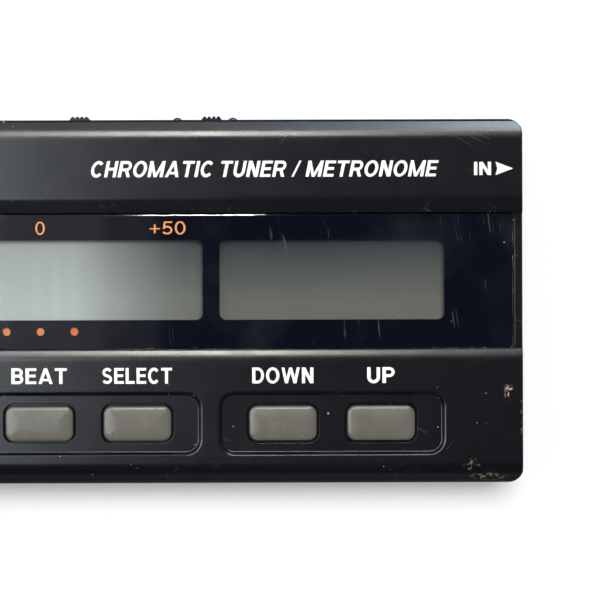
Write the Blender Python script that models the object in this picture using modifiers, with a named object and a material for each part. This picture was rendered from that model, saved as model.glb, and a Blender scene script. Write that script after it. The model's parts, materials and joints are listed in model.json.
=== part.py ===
"""Handheld instrument tuner and metronome: two case shells with every working piece inside.

Frame: metres, +X to the user's right, +Y to the rear edge, +Z up from the table.
"""
import math

import bmesh
import bpy
from mathutils import Matrix, Vector

MM = 0.001
GAP = 0.3 * MM

# Case. The knobs on the rear edge stand proud of it, so the case sits half of that forward.
KNOB_PROUD = 0.92 * MM
CASE_SHIFT_Y = -KNOB_PROUD / 2
HALF_WIDTH = 57.5 * MM
HALF_DEPTH = 28.95 * MM
CASE_TOP = 19.0 * MM
CASE_BOTTOM = 0.6 * MM
PARTING = 9.0 * MM
WALL = 1.6 * MM
INNER_X = HALF_WIDTH - WALL
INNER_Y = HALF_DEPTH - WALL
PLAN_RADIUS = 2.4 * MM
REAR_RADIUS = 2.8 * MM
FRONT_RADIUS = 3.5 * MM
LOWER_RADIUS = 1.0 * MM
FLOOR_TOP = CASE_BOTTOM + WALL

# Display: a shallow trough across the case, and a clear lens on a ledge in it
TROUGH_TOP = 18.0 * MM
BEVEL_BOTTOM = 18.6 * MM
TROUGH_REAR = 14.0 * MM
TROUGH_REAR_LIP = 16.3 * MM
TROUGH_FRONT = -7.7 * MM
TROUGH_FRONT_LIP = -8.8 * MM
LENS_HALF_X = 56.1 * MM
LENS_Y = (-7.5 * MM, TROUGH_REAR)
LENS_Z = (16.45 * MM, TROUGH_TOP)
LEDGE_Z = (14.95 * MM, 16.15 * MM)
VIEW_HALF_X = 46.0 * MM
VIEW_Y = (-3.1 * MM, 11.3 * MM)
METER_X = -19.25 * MM
GUIDE_PITCH = 5.4 * MM
GUIDE_Y = -4.7 * MM
GUIDE_RADIUS = 0.65 * MM
GUIDES = {"flat": -1, "in_tune": 0, "sharp": 1}

# Buttons, in two shallow recesses in front of the display
RECESSES = {"left": (-45.26 * MM, 6.44 * MM), "right": (8.96 * MM, 45.26 * MM)}
RECESS_Y = (-24.5 * MM, -14.1 * MM)
RECESS_DEPTH = 0.6 * MM
RECESS_RADIUS = 2.7 * MM
BUTTONS = {
    "mode": -34.79 * MM,
    "beat": -19.24 * MM,
    "setup": -3.69 * MM,
    "down": 19.39 * MM,
    "up": 34.94 * MM,
}
BUTTON_Y = -19.26 * MM
BUTTON_SIZE = (10.7 * MM, 5.5 * MM)
BUTTON_TOP = 19.35 * MM
BUTTON_RADIUS = 1.35 * MM
BUTTON_HOLE_GAP = 0.4 * MM
FLANGE_MARGIN = 0.8 * MM
FLANGE_Z = (16.35 * MM, 17.05 * MM)
KEY_ROOF = 17.4 * MM
KEY_BOARD_Z = (13.2 * MM, 14.2 * MM)

# Boards and display stack
MAIN_BOARD_Z = (8.4 * MM, 9.6 * MM)
MAIN_BOARD_HALF_X = 47.0 * MM
MAIN_BOARD_Y = (-5.0 * MM, 13.5 * MM)
TAIL_HALF_X = 26.0 * MM
TAIL_REAR = 25.6 * MM
PANEL_Z = (12.2 * MM, 14.6 * MM)
FRAME_Z = (11.9 * MM, 14.65 * MM)
FRAME_HALF_X = 48.0 * MM
FRAME_Y = (-6.6 * MM, 14.2 * MM)

# Slide switches whose knobs come out of the rear wall
SLIDE_Z = 11.4 * MM
POWER_X = 6.98 * MM
POWER_THROW = 1.0 * MM
VOLUME_X = -13.3 * MM
VOLUME_THROW = 2.0 * MM
KNOB_WIDTH = 3.2 * MM
KNOB_HEIGHT = 2.1 * MM
RIDGES = 4
RIDGE_PITCH = 0.74 * MM
RIDGE_DEPTH = 0.35 * MM
GUARD_REACH = 4.45 * MM
GUARD_RADIUS = 0.85 * MM
GUARD_PROUD = 0.7 * MM

# Jack sockets for 6.35 mm plugs, one in each side wall
JACK_Y = 21.0 * MM
JACK_Z = PARTING
JACK_INNER_X = 27.5 * MM
JACK_OUTER_X = 55.6 * MM
JACK_HALF = 5.7 * MM
JACK_BORE = 3.5 * MM
COLLAR_RADIUS = 4.5 * MM
JACKS = {"in": 1, "out": -1}

# Battery bay for two AAA cells, closed by a door that slides out at the front
CELL_RADIUS = 5.25 * MM
CELL_HALF = 22.25 * MM
CELL_Z = 7.65 * MM
CELLS = {"front": -21.4 * MM, "rear": -10.6 * MM}
DOOR_HALF_X = 24.0 * MM
DOOR_LIP_X = 25.7 * MM
DOOR_REAR = -4.0 * MM
DOOR_TOP = 2.1 * MM
LIP_BOTTOM = 1.5 * MM
BAY_RIB_X = (25.3 * MM, 27.1 * MM)
PLATE_X = (24.5 * MM, 24.9 * MM)

# Fasteners, feet, microphone and sounder
SCREWS = {
    "rear_left": (-51.5 * MM, 9.5 * MM),
    "rear_right": (51.5 * MM, 9.5 * MM),
    "front_left": (-51.5 * MM, -23.8 * MM),
    "front_right": (51.5 * MM, -23.8 * MM),
}
FEET = {
    "rear_left": (-50.5 * MM, 22.5 * MM),
    "rear_right": (50.5 * MM, 22.5 * MM),
    "front_left": (-42.0 * MM, -23.5 * MM),
    "front_right": (42.0 * MM, -23.5 * MM),
}
FOOT_RADIUS = 3.5 * MM
FOOT_TOP = 1.2 * MM
MIC = (-50.8 * MM, -15.5 * MM)
SOUNDER = (38.0 * MM, -15.0 * MM)

AXIS_TURN = {
    "X": (0.0, math.pi / 2, 0.0),
    "-X": (0.0, -math.pi / 2, 0.0),
    "Z": (0.0, 0.0, 0.0),
}


# ---------------------------------------------------------------- scene and helpers

def clear_scene():
    for obj in list(bpy.data.objects):
        bpy.data.objects.remove(obj, do_unlink=True)


def new_collection(name):
    collection = bpy.data.collections.new(name)
    bpy.context.scene.collection.children.link(collection)
    return collection


clear_scene()
PARTS = new_collection("handheld_tuner")
CUTTERS = new_collection("cutters")
CASE_FRAME = bpy.data.objects.new("case_frame", None)
CASE_FRAME.location = (0.0, CASE_SHIFT_Y, 0.0)
PARTS.objects.link(CASE_FRAME)


def add_object(name, mesh, location, rotation=(0.0, 0.0, 0.0), guide=False):
    """Place a mesh in the case's frame, as a part or as a hidden cutter."""
    obj = bpy.data.objects.new(name, mesh)
    obj.location = location
    obj.rotation_euler = rotation
    obj.parent = CASE_FRAME
    if guide:
        obj.hide_render = True
        obj.display_type = "WIRE"
    (CUTTERS if guide else PARTS).objects.link(obj)
    return obj


def mesh_from(name, bm):
    mesh = bpy.data.meshes.new(name)
    bm.to_mesh(mesh)
    bm.free()
    return mesh


def box(name, low, high, radius=0.0, segments=4, chamfer_low=0.0, chamfer_high=0.0, guide=False):
    """A box between two corners, its upright edges rounded, its ends chamfered if asked."""
    low = Vector(low)
    size = Vector(high) - low
    bm = bmesh.new()
    bmesh.ops.create_cube(bm, size=1.0, matrix=Matrix.Diagonal((*size, 1.0)))
    if radius:
        upright = [e for e in bm.edges if abs(e.verts[0].co.z - e.verts[1].co.z) > size.z / 2]
        bmesh.ops.bevel(bm, geom=upright, offset=radius, segments=segments, profile=0.5,
                        affect="EDGES")
    for chamfer, side in ((chamfer_low, -1), (chamfer_high, 1)):
        if chamfer:
            end = side * size.z / 2
            rim = [e for e in bm.edges if all(abs(v.co.z - end) < 1e-7 for v in e.verts)]
            bmesh.ops.bevel(bm, geom=rim, offset=chamfer, segments=1, affect="EDGES")
    return add_object(name, mesh_from(name, bm), low + size / 2, guide=guide)


def rod(name, centre, radius, length, axis="Z", segments=24, guide=False):
    """A cylinder about its centre, along one axis."""
    bm = bmesh.new()
    bmesh.ops.create_cone(bm, cap_ends=True, segments=segments, radius1=radius,
                          radius2=radius, depth=length)
    obj = add_object(name, mesh_from(name, bm), centre, AXIS_TURN[axis], guide)
    smooth(obj)
    return obj


def turned(name, profile, centre, axis="Z", steps=24):
    """A solid of revolution. The profile is (radius, height) points from top to bottom."""
    mesh = bpy.data.meshes.new(name)
    points = [(radius, 0.0, height) for radius, height in profile]
    mesh.from_pydata(points, [(i, i + 1) for i in range(len(points) - 1)], [])
    obj = add_object(name, mesh, centre, AXIS_TURN[axis])
    screw = obj.modifiers.new("turn", "SCREW")
    screw.axis = "Z"
    screw.angle = 2 * math.pi
    screw.steps = steps
    screw.render_steps = steps
    screw.use_merge_vertices = True
    screw.merge_threshold = 0.01 * MM
    screw.use_smooth_shade = True
    return obj


def mesh_from_curve(curve_obj, guide, rotation_matrix):
    """Turn a curve object into a closed mesh object at the same place."""
    bpy.context.view_layer.update()
    evaluated = curve_obj.evaluated_get(bpy.context.evaluated_depsgraph_get())
    mesh = bpy.data.meshes.new_from_object(evaluated)
    bm = bmesh.new()
    bm.from_mesh(mesh)
    bmesh.ops.remove_doubles(bm, verts=bm.verts, dist=0.001 * MM)
    bmesh.ops.transform(bm, matrix=rotation_matrix, verts=bm.verts)
    bmesh.ops.recalc_face_normals(bm, faces=bm.faces)
    bm.to_mesh(mesh)
    bm.free()
    name = curve_obj.name
    location = curve_obj.location.copy()
    curve_obj.name = name + "_curve"
    bpy.data.objects.remove(curve_obj, do_unlink=True)
    return add_object(name, mesh, location, guide=guide)


def extruded(name, outline, low, high, along="X", guide=False):
    """A flat closed outline, extruded between two stations along X (outline in Y, Z) or Z."""
    curve = bpy.data.curves.new(name, "CURVE")
    curve.dimensions = "2D"
    curve.fill_mode = "BOTH"
    curve.extrude = (high - low) / 2
    spline = curve.splines.new("POLY")
    spline.points.add(len(outline) - 1)
    for point, (u, v) in zip(spline.points, outline):
        point.co = (u, v, 0.0, 1.0)
    spline.use_cyclic_u = True
    curve_obj = add_object(name, curve, (0.0, 0.0, 0.0), guide=guide)
    middle = (high + low) / 2
    if along == "X":
        curve_obj.location = (middle, 0.0, 0.0)
        turn = Matrix(((0, 0, 1, 0), (1, 0, 0, 0), (0, 1, 0, 0), (0, 0, 0, 1)))
    else:
        curve_obj.location = (0.0, 0.0, middle)
        turn = Matrix.Identity(4)
    return mesh_from_curve(curve_obj, guide, turn)


def arc(centre, radius, start, end, segments=6):
    """Points along an arc, angles in degrees, ends included."""
    points = []
    for i in range(segments + 1):
        angle = math.radians(start + (end - start) * i / segments)
        points.append((centre[0] + radius * math.cos(angle), centre[1] + radius * math.sin(angle)))
    return points


def combine(target, *others, operation="DIFFERENCE"):
    for other in others:
        modifier = target.modifiers.new(other.name, "BOOLEAN")
        modifier.operation = operation
        modifier.solver = "EXACT"
        modifier.object = other


def smooth(obj, angle=35.0):
    obj.data.shade_smooth()
    obj.data.set_sharp_from_angle(angle=math.radians(angle))


def material(name, colour, roughness, metallic=0.0):
    mat = bpy.data.materials.new(name)
    mat.use_nodes = True
    shader = mat.node_tree.nodes["Principled BSDF"]
    shader.inputs["Base Color"].default_value = (*colour, 1.0)
    shader.inputs["Roughness"].default_value = roughness
    shader.inputs["Metallic"].default_value = metallic
    return mat


def paint(mat, *objects):
    for obj in objects:
        obj.data.materials.append(mat)


CASE_PLASTIC = material("case_plastic", (0.012, 0.013, 0.015), 0.42)
KEY_PLASTIC = material("key_plastic", (0.165, 0.160, 0.145), 0.45)
LENS_PLASTIC = material("lens_plastic", (0.004, 0.005, 0.012), 0.08)
LCD_GLASS = material("lcd_glass", (0.110, 0.118, 0.100), 0.15)
WHITE_PLASTIC = material("white_plastic", (0.62, 0.62, 0.58), 0.40)
AMBER_PLASTIC = material("amber_plastic", (0.80, 0.22, 0.03), 0.25)
DARK_PLASTIC = material("dark_plastic", (0.015, 0.015, 0.016), 0.50)
BOARD_GREEN = material("board_green", (0.015, 0.120, 0.045), 0.40)
RUBBER = material("rubber", (0.014, 0.014, 0.014), 0.85)
STEEL = material("steel", (0.55, 0.55, 0.56), 0.30, 1.0)
NICKEL = material("nickel", (0.62, 0.60, 0.56), 0.22, 1.0)
BRASS = material("brass", (0.72, 0.52, 0.22), 0.30, 1.0)
CELL_SLEEVE = material("cell_sleeve", (0.030, 0.090, 0.220), 0.35)


# ---------------------------------------------------------------- case shells

def jack_holes():
    """Round holes in both side walls, half in each shell."""
    return [rod("jack_hole_" + name, (side * HALF_WIDTH, JACK_Y, JACK_Z), COLLAR_RADIUS + GAP,
                5.0 * MM, "X", 32, guide=True) for name, side in JACKS.items()]


def top_envelope():
    """The upper shell's outside: a profile with rounded front and rear edges."""
    base = PARTING + GAP / 2
    front = (-HALF_DEPTH + FRONT_RADIUS, CASE_TOP - FRONT_RADIUS)
    rear = (HALF_DEPTH - REAR_RADIUS, CASE_TOP - REAR_RADIUS)
    outline = [(-HALF_DEPTH, base), (HALF_DEPTH, base)]
    outline += arc(rear, REAR_RADIUS, 0.0, 90.0)
    outline += [(TROUGH_REAR_LIP, CASE_TOP), (TROUGH_REAR, BEVEL_BOTTOM),
                (TROUGH_REAR, TROUGH_TOP), (TROUGH_FRONT, TROUGH_TOP),
                (TROUGH_FRONT, BEVEL_BOTTOM), (TROUGH_FRONT_LIP, CASE_TOP)]
    outline += arc(front, FRONT_RADIUS, 90.0, 180.0)
    return extruded("top_case", outline, -HALF_WIDTH, HALF_WIDTH)


def slide_slot(name, centre_x, throw):
    reach = throw + KNOB_WIDTH / 2 + GAP
    half_z = KNOB_HEIGHT / 2 + 0.35 * MM
    return box(name, (centre_x - reach, INNER_Y - GAP, SLIDE_Z - half_z),
               (centre_x + reach, HALF_DEPTH + 3 * MM, SLIDE_Z + half_z), guide=True)


def make_top_case(holes):
    shell = top_envelope()
    plan = box("top_plan", (-HALF_WIDTH, -HALF_DEPTH, 5 * MM), (HALF_WIDTH, HALF_DEPTH, CASE_TOP),
               PLAN_RADIUS, 6, chamfer_high=0.5 * MM, guide=True)
    combine(shell, plan, operation="INTERSECT")
    combine(shell, box("display_hollow", (-INNER_X, -INNER_Y, 5 * MM),
                       (INNER_X, INNER_Y, LEDGE_Z[0]), 1.2 * MM, guide=True))
    combine(shell, box("key_hollow", (-54.5 * MM, -26.4 * MM, 5 * MM),
                       (54.5 * MM, -9.6 * MM, KEY_ROOF), 1.0 * MM, guide=True))
    for name, (x, y) in SCREWS.items():
        roof = 17.9 * MM if y < 0 else 15.6 * MM
        base = PARTING + GAP / 2
        boss = rod("top_boss_" + name, (x, y, (roof + base) / 2), 2.6 * MM, roof - base,
                   guide=True)
        combine(shell, boss, operation="UNION")
        combine(shell, rod("top_pilot_" + name, (x, y, 11.6 * MM), 1.4 * MM, 5.6 * MM,
                           segments=16, guide=True))
    for number, x in enumerate((-27.0 * MM, 27.2 * MM)):
        post = rod("key_post_%d" % number, (x, -13.0 * MM, 16.15 * MM), 1.5 * MM, 3.3 * MM,
                   segments=16, guide=True)
        combine(shell, post, operation="UNION")
    guard_y = HALF_DEPTH + GUARD_PROUD - GUARD_RADIUS
    for number, x in enumerate((POWER_X - GUARD_REACH, POWER_X + GUARD_REACH)):
        guard = rod("guard_%d" % number, (x, guard_y, SLIDE_Z), GUARD_RADIUS, 3.4 * MM,
                    segments=20, guide=True)
        combine(shell, guard, operation="UNION")
    combine(shell, box("lens_pocket", (-LENS_HALF_X - GAP, LENS_Y[0] - GAP, LEDGE_Z[1]),
                       (LENS_HALF_X + GAP, LENS_Y[1] + GAP, 22 * MM), 1.3 * MM, guide=True))
    combine(shell, box("view_opening", (-VIEW_HALF_X, VIEW_Y[0], 14 * MM),
                       (VIEW_HALF_X, VIEW_Y[1], 17 * MM), 0.8 * MM, guide=True))
    for name, step in GUIDES.items():
        combine(shell, rod("guide_hole_" + name, (METER_X + step * GUIDE_PITCH, GUIDE_Y, 15.5 * MM),
                           GUIDE_RADIUS + 0.2 * MM, 3 * MM, segments=16, guide=True))
    for name, (left, right) in RECESSES.items():
        combine(shell, box("recess_" + name, (left, RECESS_Y[0], CASE_TOP - RECESS_DEPTH),
                           (right, RECESS_Y[1], CASE_TOP + 1 * MM), RECESS_RADIUS, 6,
                           chamfer_low=RECESS_DEPTH - 0.02 * MM, guide=True))
    for name, x in BUTTONS.items():
        half_x = BUTTON_SIZE[0] / 2 + BUTTON_HOLE_GAP
        half_y = BUTTON_SIZE[1] / 2 + BUTTON_HOLE_GAP
        combine(shell, box("key_hole_" + name, (x - half_x, BUTTON_Y - half_y, KEY_ROOF - 1 * MM),
                           (x + half_x, BUTTON_Y + half_y, CASE_TOP + 2 * MM),
                           BUTTON_RADIUS + BUTTON_HOLE_GAP, guide=True))
    combine(shell, slide_slot("power_slot", POWER_X, POWER_THROW))
    combine(shell, slide_slot("volume_slot", VOLUME_X, VOLUME_THROW))
    combine(shell, rod("mic_hole", (*MIC, 18.5 * MM), 0.6 * MM, 4 * MM, segments=12, guide=True))
    combine(shell, *holes)
    paint(CASE_PLASTIC, shell)


def make_bottom_case(holes):
    top = PARTING - GAP / 2
    low_front = (-HALF_DEPTH + LOWER_RADIUS, CASE_BOTTOM + LOWER_RADIUS)
    low_rear = (HALF_DEPTH - LOWER_RADIUS, CASE_BOTTOM + LOWER_RADIUS)
    outline = [(HALF_DEPTH, top), (-HALF_DEPTH, top)]
    outline += arc(low_front, LOWER_RADIUS, 180.0, 270.0, 4)
    outline += arc(low_rear, LOWER_RADIUS, 270.0, 360.0, 4)
    shell = extruded("bottom_case", outline, -HALF_WIDTH, HALF_WIDTH)
    combine(shell, box("bottom_plan", (-HALF_WIDTH, -HALF_DEPTH, CASE_BOTTOM),
                       (HALF_WIDTH, HALF_DEPTH, 12 * MM), PLAN_RADIUS, 6,
                       chamfer_low=0.7 * MM, guide=True), operation="INTERSECT")
    combine(shell, box("bottom_hollow", (-INNER_X, -INNER_Y, FLOOR_TOP),
                       (INNER_X, INNER_Y, 12 * MM), 1.2 * MM, guide=True))
    for side in (-1, 1):
        near, far = sorted((side * BAY_RIB_X[0], side * BAY_RIB_X[1]))
        rib = box("bay_rib_%+d" % side, (near, -INNER_Y + GAP, FLOOR_TOP - 0.8 * MM),
                  (far, -7.0 * MM, 11.8 * MM), guide=True)
        combine(shell, rib, operation="UNION")
    bay_wall = box("bay_rear_wall", (-26.4 * MM, -3.2 * MM, FLOOR_TOP - 0.8 * MM),
                   (26.4 * MM, -2.2 * MM, 7.9 * MM), guide=True)
    combine(shell, bay_wall, operation="UNION")
    for name, (x, y) in SCREWS.items():
        boss = rod("bottom_boss_" + name, (x, y, (FLOOR_TOP - 0.8 * MM + top) / 2), 3.8 * MM,
                   top - FLOOR_TOP + 0.8 * MM, guide=True)
        combine(shell, boss, operation="UNION")
        combine(shell, rod("counterbore_" + name, (x, y, 1.8 * MM), 2.5 * MM, 3.6 * MM,
                           guide=True))
        combine(shell, rod("screw_hole_" + name, (x, y, 6 * MM), 1.4 * MM, 8 * MM, segments=16,
                           guide=True))
    for number, (x, y) in enumerate(((-42 * MM, 4 * MM), (42 * MM, 4 * MM), (0.0, 9 * MM))):
        post = rod("board_post_%d" % number, (x, y, 4.7 * MM), 1.6 * MM, 6.6 * MM, segments=16,
                   guide=True)
        combine(shell, post, operation="UNION")
    for name, (x, y) in FEET.items():
        combine(shell, rod("foot_pocket_" + name, (x, y, CASE_BOTTOM), FOOT_RADIUS + GAP,
                           1.8 * MM, guide=True))
    beyond = -HALF_DEPTH - 2 * MM
    combine(shell, box("door_opening", (-DOOR_HALF_X - GAP, beyond, -1 * MM),
                       (DOOR_HALF_X + GAP, DOOR_REAR + GAP, DOOR_TOP + GAP), guide=True))
    combine(shell, box("door_groove", (-DOOR_LIP_X - GAP, beyond, LIP_BOTTOM - GAP),
                       (DOOR_LIP_X + GAP, DOOR_REAR + GAP, DOOR_TOP + GAP), guide=True))
    for number in range(5):
        y = SOUNDER[1] + (number - 2) * 2.2 * MM
        combine(shell, box("sounder_slot_%d" % number, (SOUNDER[0] - 5 * MM, y - 0.5 * MM, 0.0),
                           (SOUNDER[0] + 5 * MM, y + 0.5 * MM, 3 * MM), 0.49 * MM, 3, guide=True))
    combine(shell, *holes)
    paint(CASE_PLASTIC, shell)


def make_battery_door():
    """A T-section plate: its lips run in the case's grooves, grip ribs are near the front."""
    door = box("battery_door", (-DOOR_HALF_X, -HALF_DEPTH + GAP, CASE_BOTTOM),
               (DOOR_HALF_X, DOOR_REAR, DOOR_TOP))
    combine(door, box("door_lips", (-DOOR_LIP_X, -26.4 * MM, LIP_BOTTOM),
                      (DOOR_LIP_X, DOOR_REAR - 0.1 * MM, DOOR_TOP - 0.05 * MM), guide=True),
            operation="UNION")
    for number in range(4):
        y = -25.0 * MM + number * 1.3 * MM
        combine(door, box("grip_groove_%d" % number, (-8 * MM, y, 0.0),
                          (8 * MM, y + 0.6 * MM, CASE_BOTTOM + 0.35 * MM), guide=True))
    paint(CASE_PLASTIC, door)


def make_lens():
    lens = box("display_lens", (-LENS_HALF_X, LENS_Y[0], LENS_Z[0]),
               (LENS_HALF_X, LENS_Y[1], LENS_Z[1]), 1.0 * MM, chamfer_high=0.12 * MM)
    paint(LENS_PLASTIC, lens)


def make_screw(name, x, y):
    """A pan-head screw driven up from below, with a cross recess in its head."""
    profile = [(0.0, 13.9 * MM), (0.5 * MM, 13.9 * MM), (1.1 * MM, 12.6 * MM), (1.1 * MM, 3.3 * MM),
               (2.2 * MM, 3.3 * MM), (2.2 * MM, 2.4 * MM), (1.5 * MM, 1.9 * MM), (0.0, 1.9 * MM)]
    screw = turned("case_screw_" + name, profile, (x, y, 0.0), steps=16)
    for number, (half_x, half_y) in enumerate(((1.1 * MM, 0.25 * MM), (0.25 * MM, 1.1 * MM))):
        combine(screw, box("cross_%s_%d" % (name, number), (x - half_x, y - half_y, 1 * MM),
                           (x + half_x, y + half_y, 2.7 * MM), guide=True))
    paint(STEEL, screw)


def make_foot(name, x, y):
    profile = [(0.0, FOOT_TOP), (FOOT_RADIUS, FOOT_TOP), (FOOT_RADIUS, 0.5 * MM),
               (FOOT_RADIUS - 0.15 * MM, 0.15 * MM), (FOOT_RADIUS - 0.5 * MM, 0.0), (0.0, 0.0)]
    paint(RUBBER, turned("rubber_foot_" + name, profile, (x, y, 0.0)))


# ---------------------------------------------------------------- buttons

def make_button(name, x):
    """A cap held under the case by its flange, over the plunger and body of a tact switch."""
    half_x, half_y = BUTTON_SIZE[0] / 2, BUTTON_SIZE[1] / 2
    cap = box("button_" + name, (x - half_x, BUTTON_Y - half_y, FLANGE_Z[0] + 0.2 * MM),
              (x + half_x, BUTTON_Y + half_y, BUTTON_TOP), BUTTON_RADIUS, chamfer_high=0.3 * MM)
    combine(cap, box("flange_" + name,
                     (x - half_x - FLANGE_MARGIN, BUTTON_Y - half_y - FLANGE_MARGIN, FLANGE_Z[0]),
                     (x + half_x + FLANGE_MARGIN, BUTTON_Y + half_y + FLANGE_MARGIN, FLANGE_Z[1]),
                     guide=True), operation="UNION")
    paint(KEY_PLASTIC, cap)
    plunger = rod("switch_plunger_" + name, (x, BUTTON_Y, 15.675 * MM), 1.5 * MM, 0.75 * MM,
                  segments=16)
    paint(WHITE_PLASTIC, plunger)
    body = box("switch_body_" + name, (x - 3 * MM, BUTTON_Y - 3 * MM, 14.45 * MM),
               (x + 3 * MM, BUTTON_Y + 3 * MM, 15.45 * MM), 0.4 * MM, 1)
    combine(body, rod("switch_bore_" + name, (x, BUTTON_Y, 15.7 * MM), 1.8 * MM, 2.0 * MM,
                      segments=16, guide=True))
    paint(DARK_PLASTIC, body)


# ---------------------------------------------------------------- display and boards

def make_display_stack():
    panel = box("lcd_panel", (-VIEW_HALF_X, VIEW_Y[0], PANEL_Z[0]),
                (VIEW_HALF_X, VIEW_Y[1], PANEL_Z[1]), 0.3 * MM, 1)
    paint(LCD_GLASS, panel)
    frame = box("lcd_frame", (-FRAME_HALF_X, FRAME_Y[0], FRAME_Z[0]),
                (FRAME_HALF_X, FRAME_Y[1], FRAME_Z[1]), 1.0 * MM, 2)
    combine(frame, box("panel_opening", (-VIEW_HALF_X - GAP, VIEW_Y[0] - GAP, 10 * MM),
                       (VIEW_HALF_X + GAP, VIEW_Y[1] + GAP, 16 * MM), guide=True))
    paint(WHITE_PLASTIC, frame)
    for name, step in GUIDES.items():
        place = (METER_X + step * GUIDE_PITCH, GUIDE_Y)
        combine(frame, rod("frame_hole_" + name, (*place, 13 * MM), GUIDE_RADIUS + 0.2 * MM, 6 * MM,
                           segments=16, guide=True))
        guide = rod("light_guide_" + name, (*place, 13.0 * MM), GUIDE_RADIUS, 6.3 * MM,
                    segments=16)
        paint(AMBER_PLASTIC, guide)
    for name, y in (("front", -2.2 * MM), ("rear", 10.3 * MM)):
        strip = box("contact_strip_" + name, (-44 * MM, y - 0.7 * MM, MAIN_BOARD_Z[1] + GAP),
                    (44 * MM, y + 0.7 * MM, PANEL_Z[0] - GAP))
        paint(RUBBER, strip)


def make_boards():
    front, rear = MAIN_BOARD_Y
    outline = [(-MAIN_BOARD_HALF_X, front), (MAIN_BOARD_HALF_X, front), (MAIN_BOARD_HALF_X, rear),
               (TAIL_HALF_X, rear), (TAIL_HALF_X, TAIL_REAR), (-TAIL_HALF_X, TAIL_REAR),
               (-TAIL_HALF_X, rear), (-MAIN_BOARD_HALF_X, rear)]
    main_board = extruded("main_board", outline, *MAIN_BOARD_Z, along="Z")
    key_board = box("key_board", (-44 * MM, -25.8 * MM, KEY_BOARD_Z[0]),
                    (44 * MM, -12.0 * MM, KEY_BOARD_Z[1]), 0.6 * MM, 2)
    paint(BOARD_GREEN, main_board, key_board)
    chip = box("processor_chip", (5 * MM, 0.0, 6.9 * MM), (15 * MM, 10 * MM, 8.1 * MM), 0.4 * MM, 1)
    thick = 0.35 * MM
    path = [(-16.0 * MM, 12.9 * MM), (-10.5 * MM, 12.9 * MM), (-5.8 * MM, 8.1 * MM),
            (-1.0 * MM, 8.1 * MM)]
    outline = path + [(y, z - thick) for y, z in reversed(path)]
    ribbon = extruded("board_ribbon", outline, 30 * MM, 38 * MM)
    paint(DARK_PLASTIC, chip)
    paint(WHITE_PLASTIC, ribbon)


# ---------------------------------------------------------------- slide switches

def ridged_outline(inner):
    """The knob from above: a block with straight teeth across its outer end."""
    peak = HALF_DEPTH + KNOB_PROUD
    valley = peak - RIDGE_DEPTH
    half = KNOB_WIDTH / 2
    points = [(-half, inner), (half, inner), (half, valley)]
    for number in range(RIDGES):
        middle = ((RIDGES - 1) / 2 - number) * RIDGE_PITCH
        points += [(middle + 0.33 * MM, valley), (middle + 0.15 * MM, peak),
                   (middle - 0.15 * MM, peak), (middle - 0.33 * MM, valley)]
    points.append((-half, valley))
    return points


def make_slide(name, centre_x, throw, knob_x):
    """A slide switch body on the main board and its knob through the rear wall."""
    half_body = throw + 3.4 * MM
    body = box(name + "_switch_body", (centre_x - half_body, 20.4 * MM, 9.9 * MM),
               (centre_x + half_body, 25.4 * MM, 13.1 * MM))
    reach = throw + 1.3 * MM
    combine(body, box(name + "_channel", (centre_x - reach, 23.2 * MM, SLIDE_Z - 0.7 * MM),
                      (centre_x + reach, 26 * MM, SLIDE_Z + 0.7 * MM), guide=True))
    paint(NICKEL, body)
    outline = [(knob_x + x, y) for x, y in ridged_outline(25.75 * MM)]
    knob = extruded(name + "_knob", outline, SLIDE_Z - KNOB_HEIGHT / 2, SLIDE_Z + KNOB_HEIGHT / 2,
                    along="Z")
    combine(knob, box(name + "_stem", (knob_x - 1 * MM, 23.6 * MM, SLIDE_Z - 0.35 * MM),
                      (knob_x + 1 * MM, 26.4 * MM, SLIDE_Z + 0.35 * MM), guide=True),
            operation="UNION")
    paint(CASE_PLASTIC, knob)


# ---------------------------------------------------------------- jack sockets

def make_jack(name, side):
    """A moulded housing bored for a plug, a collar in the side wall and a spring contact."""
    near, far = sorted((side * JACK_INNER_X, side * JACK_OUTER_X))
    housing = box("jack_%s_housing" % name, (near, JACK_Y - JACK_HALF, JACK_Z - JACK_HALF),
                  (far, JACK_Y + JACK_HALF, JACK_Z + JACK_HALF))
    bore_length = JACK_OUTER_X - JACK_INNER_X
    combine(housing, rod("bore_" + name,
                         (side * (JACK_INNER_X + 2.5 * MM + bore_length / 2), JACK_Y, JACK_Z),
                         JACK_BORE, bore_length, "X", 24, guide=True))
    near, far = sorted((side * 32 * MM, side * 46 * MM))
    combine(housing, box("contact_window_" + name, (near, JACK_Y - 1.7 * MM, JACK_Z + 1 * MM),
                         (far, JACK_Y + 1.7 * MM, JACK_Z + 8 * MM), guide=True))
    paint(DARK_PLASTIC, housing)
    length = 1.4 * MM
    profile = [(JACK_BORE, length / 2), (COLLAR_RADIUS, length / 2),
               (COLLAR_RADIUS, -length / 2), (JACK_BORE, -length / 2), (JACK_BORE, length / 2)]
    collar = turned("jack_%s_collar" % name, profile,
                    (side * (INNER_X + length / 2), JACK_Y, JACK_Z), "X", 32)
    paint(NICKEL, collar)
    leaf = [(33 * MM, 13.6 * MM), (38 * MM, 13.6 * MM), (40 * MM, 12.5 * MM), (42 * MM, 13.6 * MM),
            (45 * MM, 13.6 * MM)]
    outline = [(x, z) for x, z in leaf] + [(x, z + 0.4 * MM) for x, z in reversed(leaf)]
    contact = extruded_leaf("jack_%s_contact" % name, outline, side)
    paint(BRASS, contact)


def extruded_leaf(name, outline, side):
    """A strip bent in X and Z, extruded across Y about the jack's middle."""
    half = 1.2 * MM
    strip = extruded(name, [(side * x, z) for x, z in outline], -half, half)
    strip.rotation_euler = (0.0, 0.0, -math.pi / 2)
    strip.location = (0.0, JACK_Y, 0.0)
    return strip


# ---------------------------------------------------------------- power, sound

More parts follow.
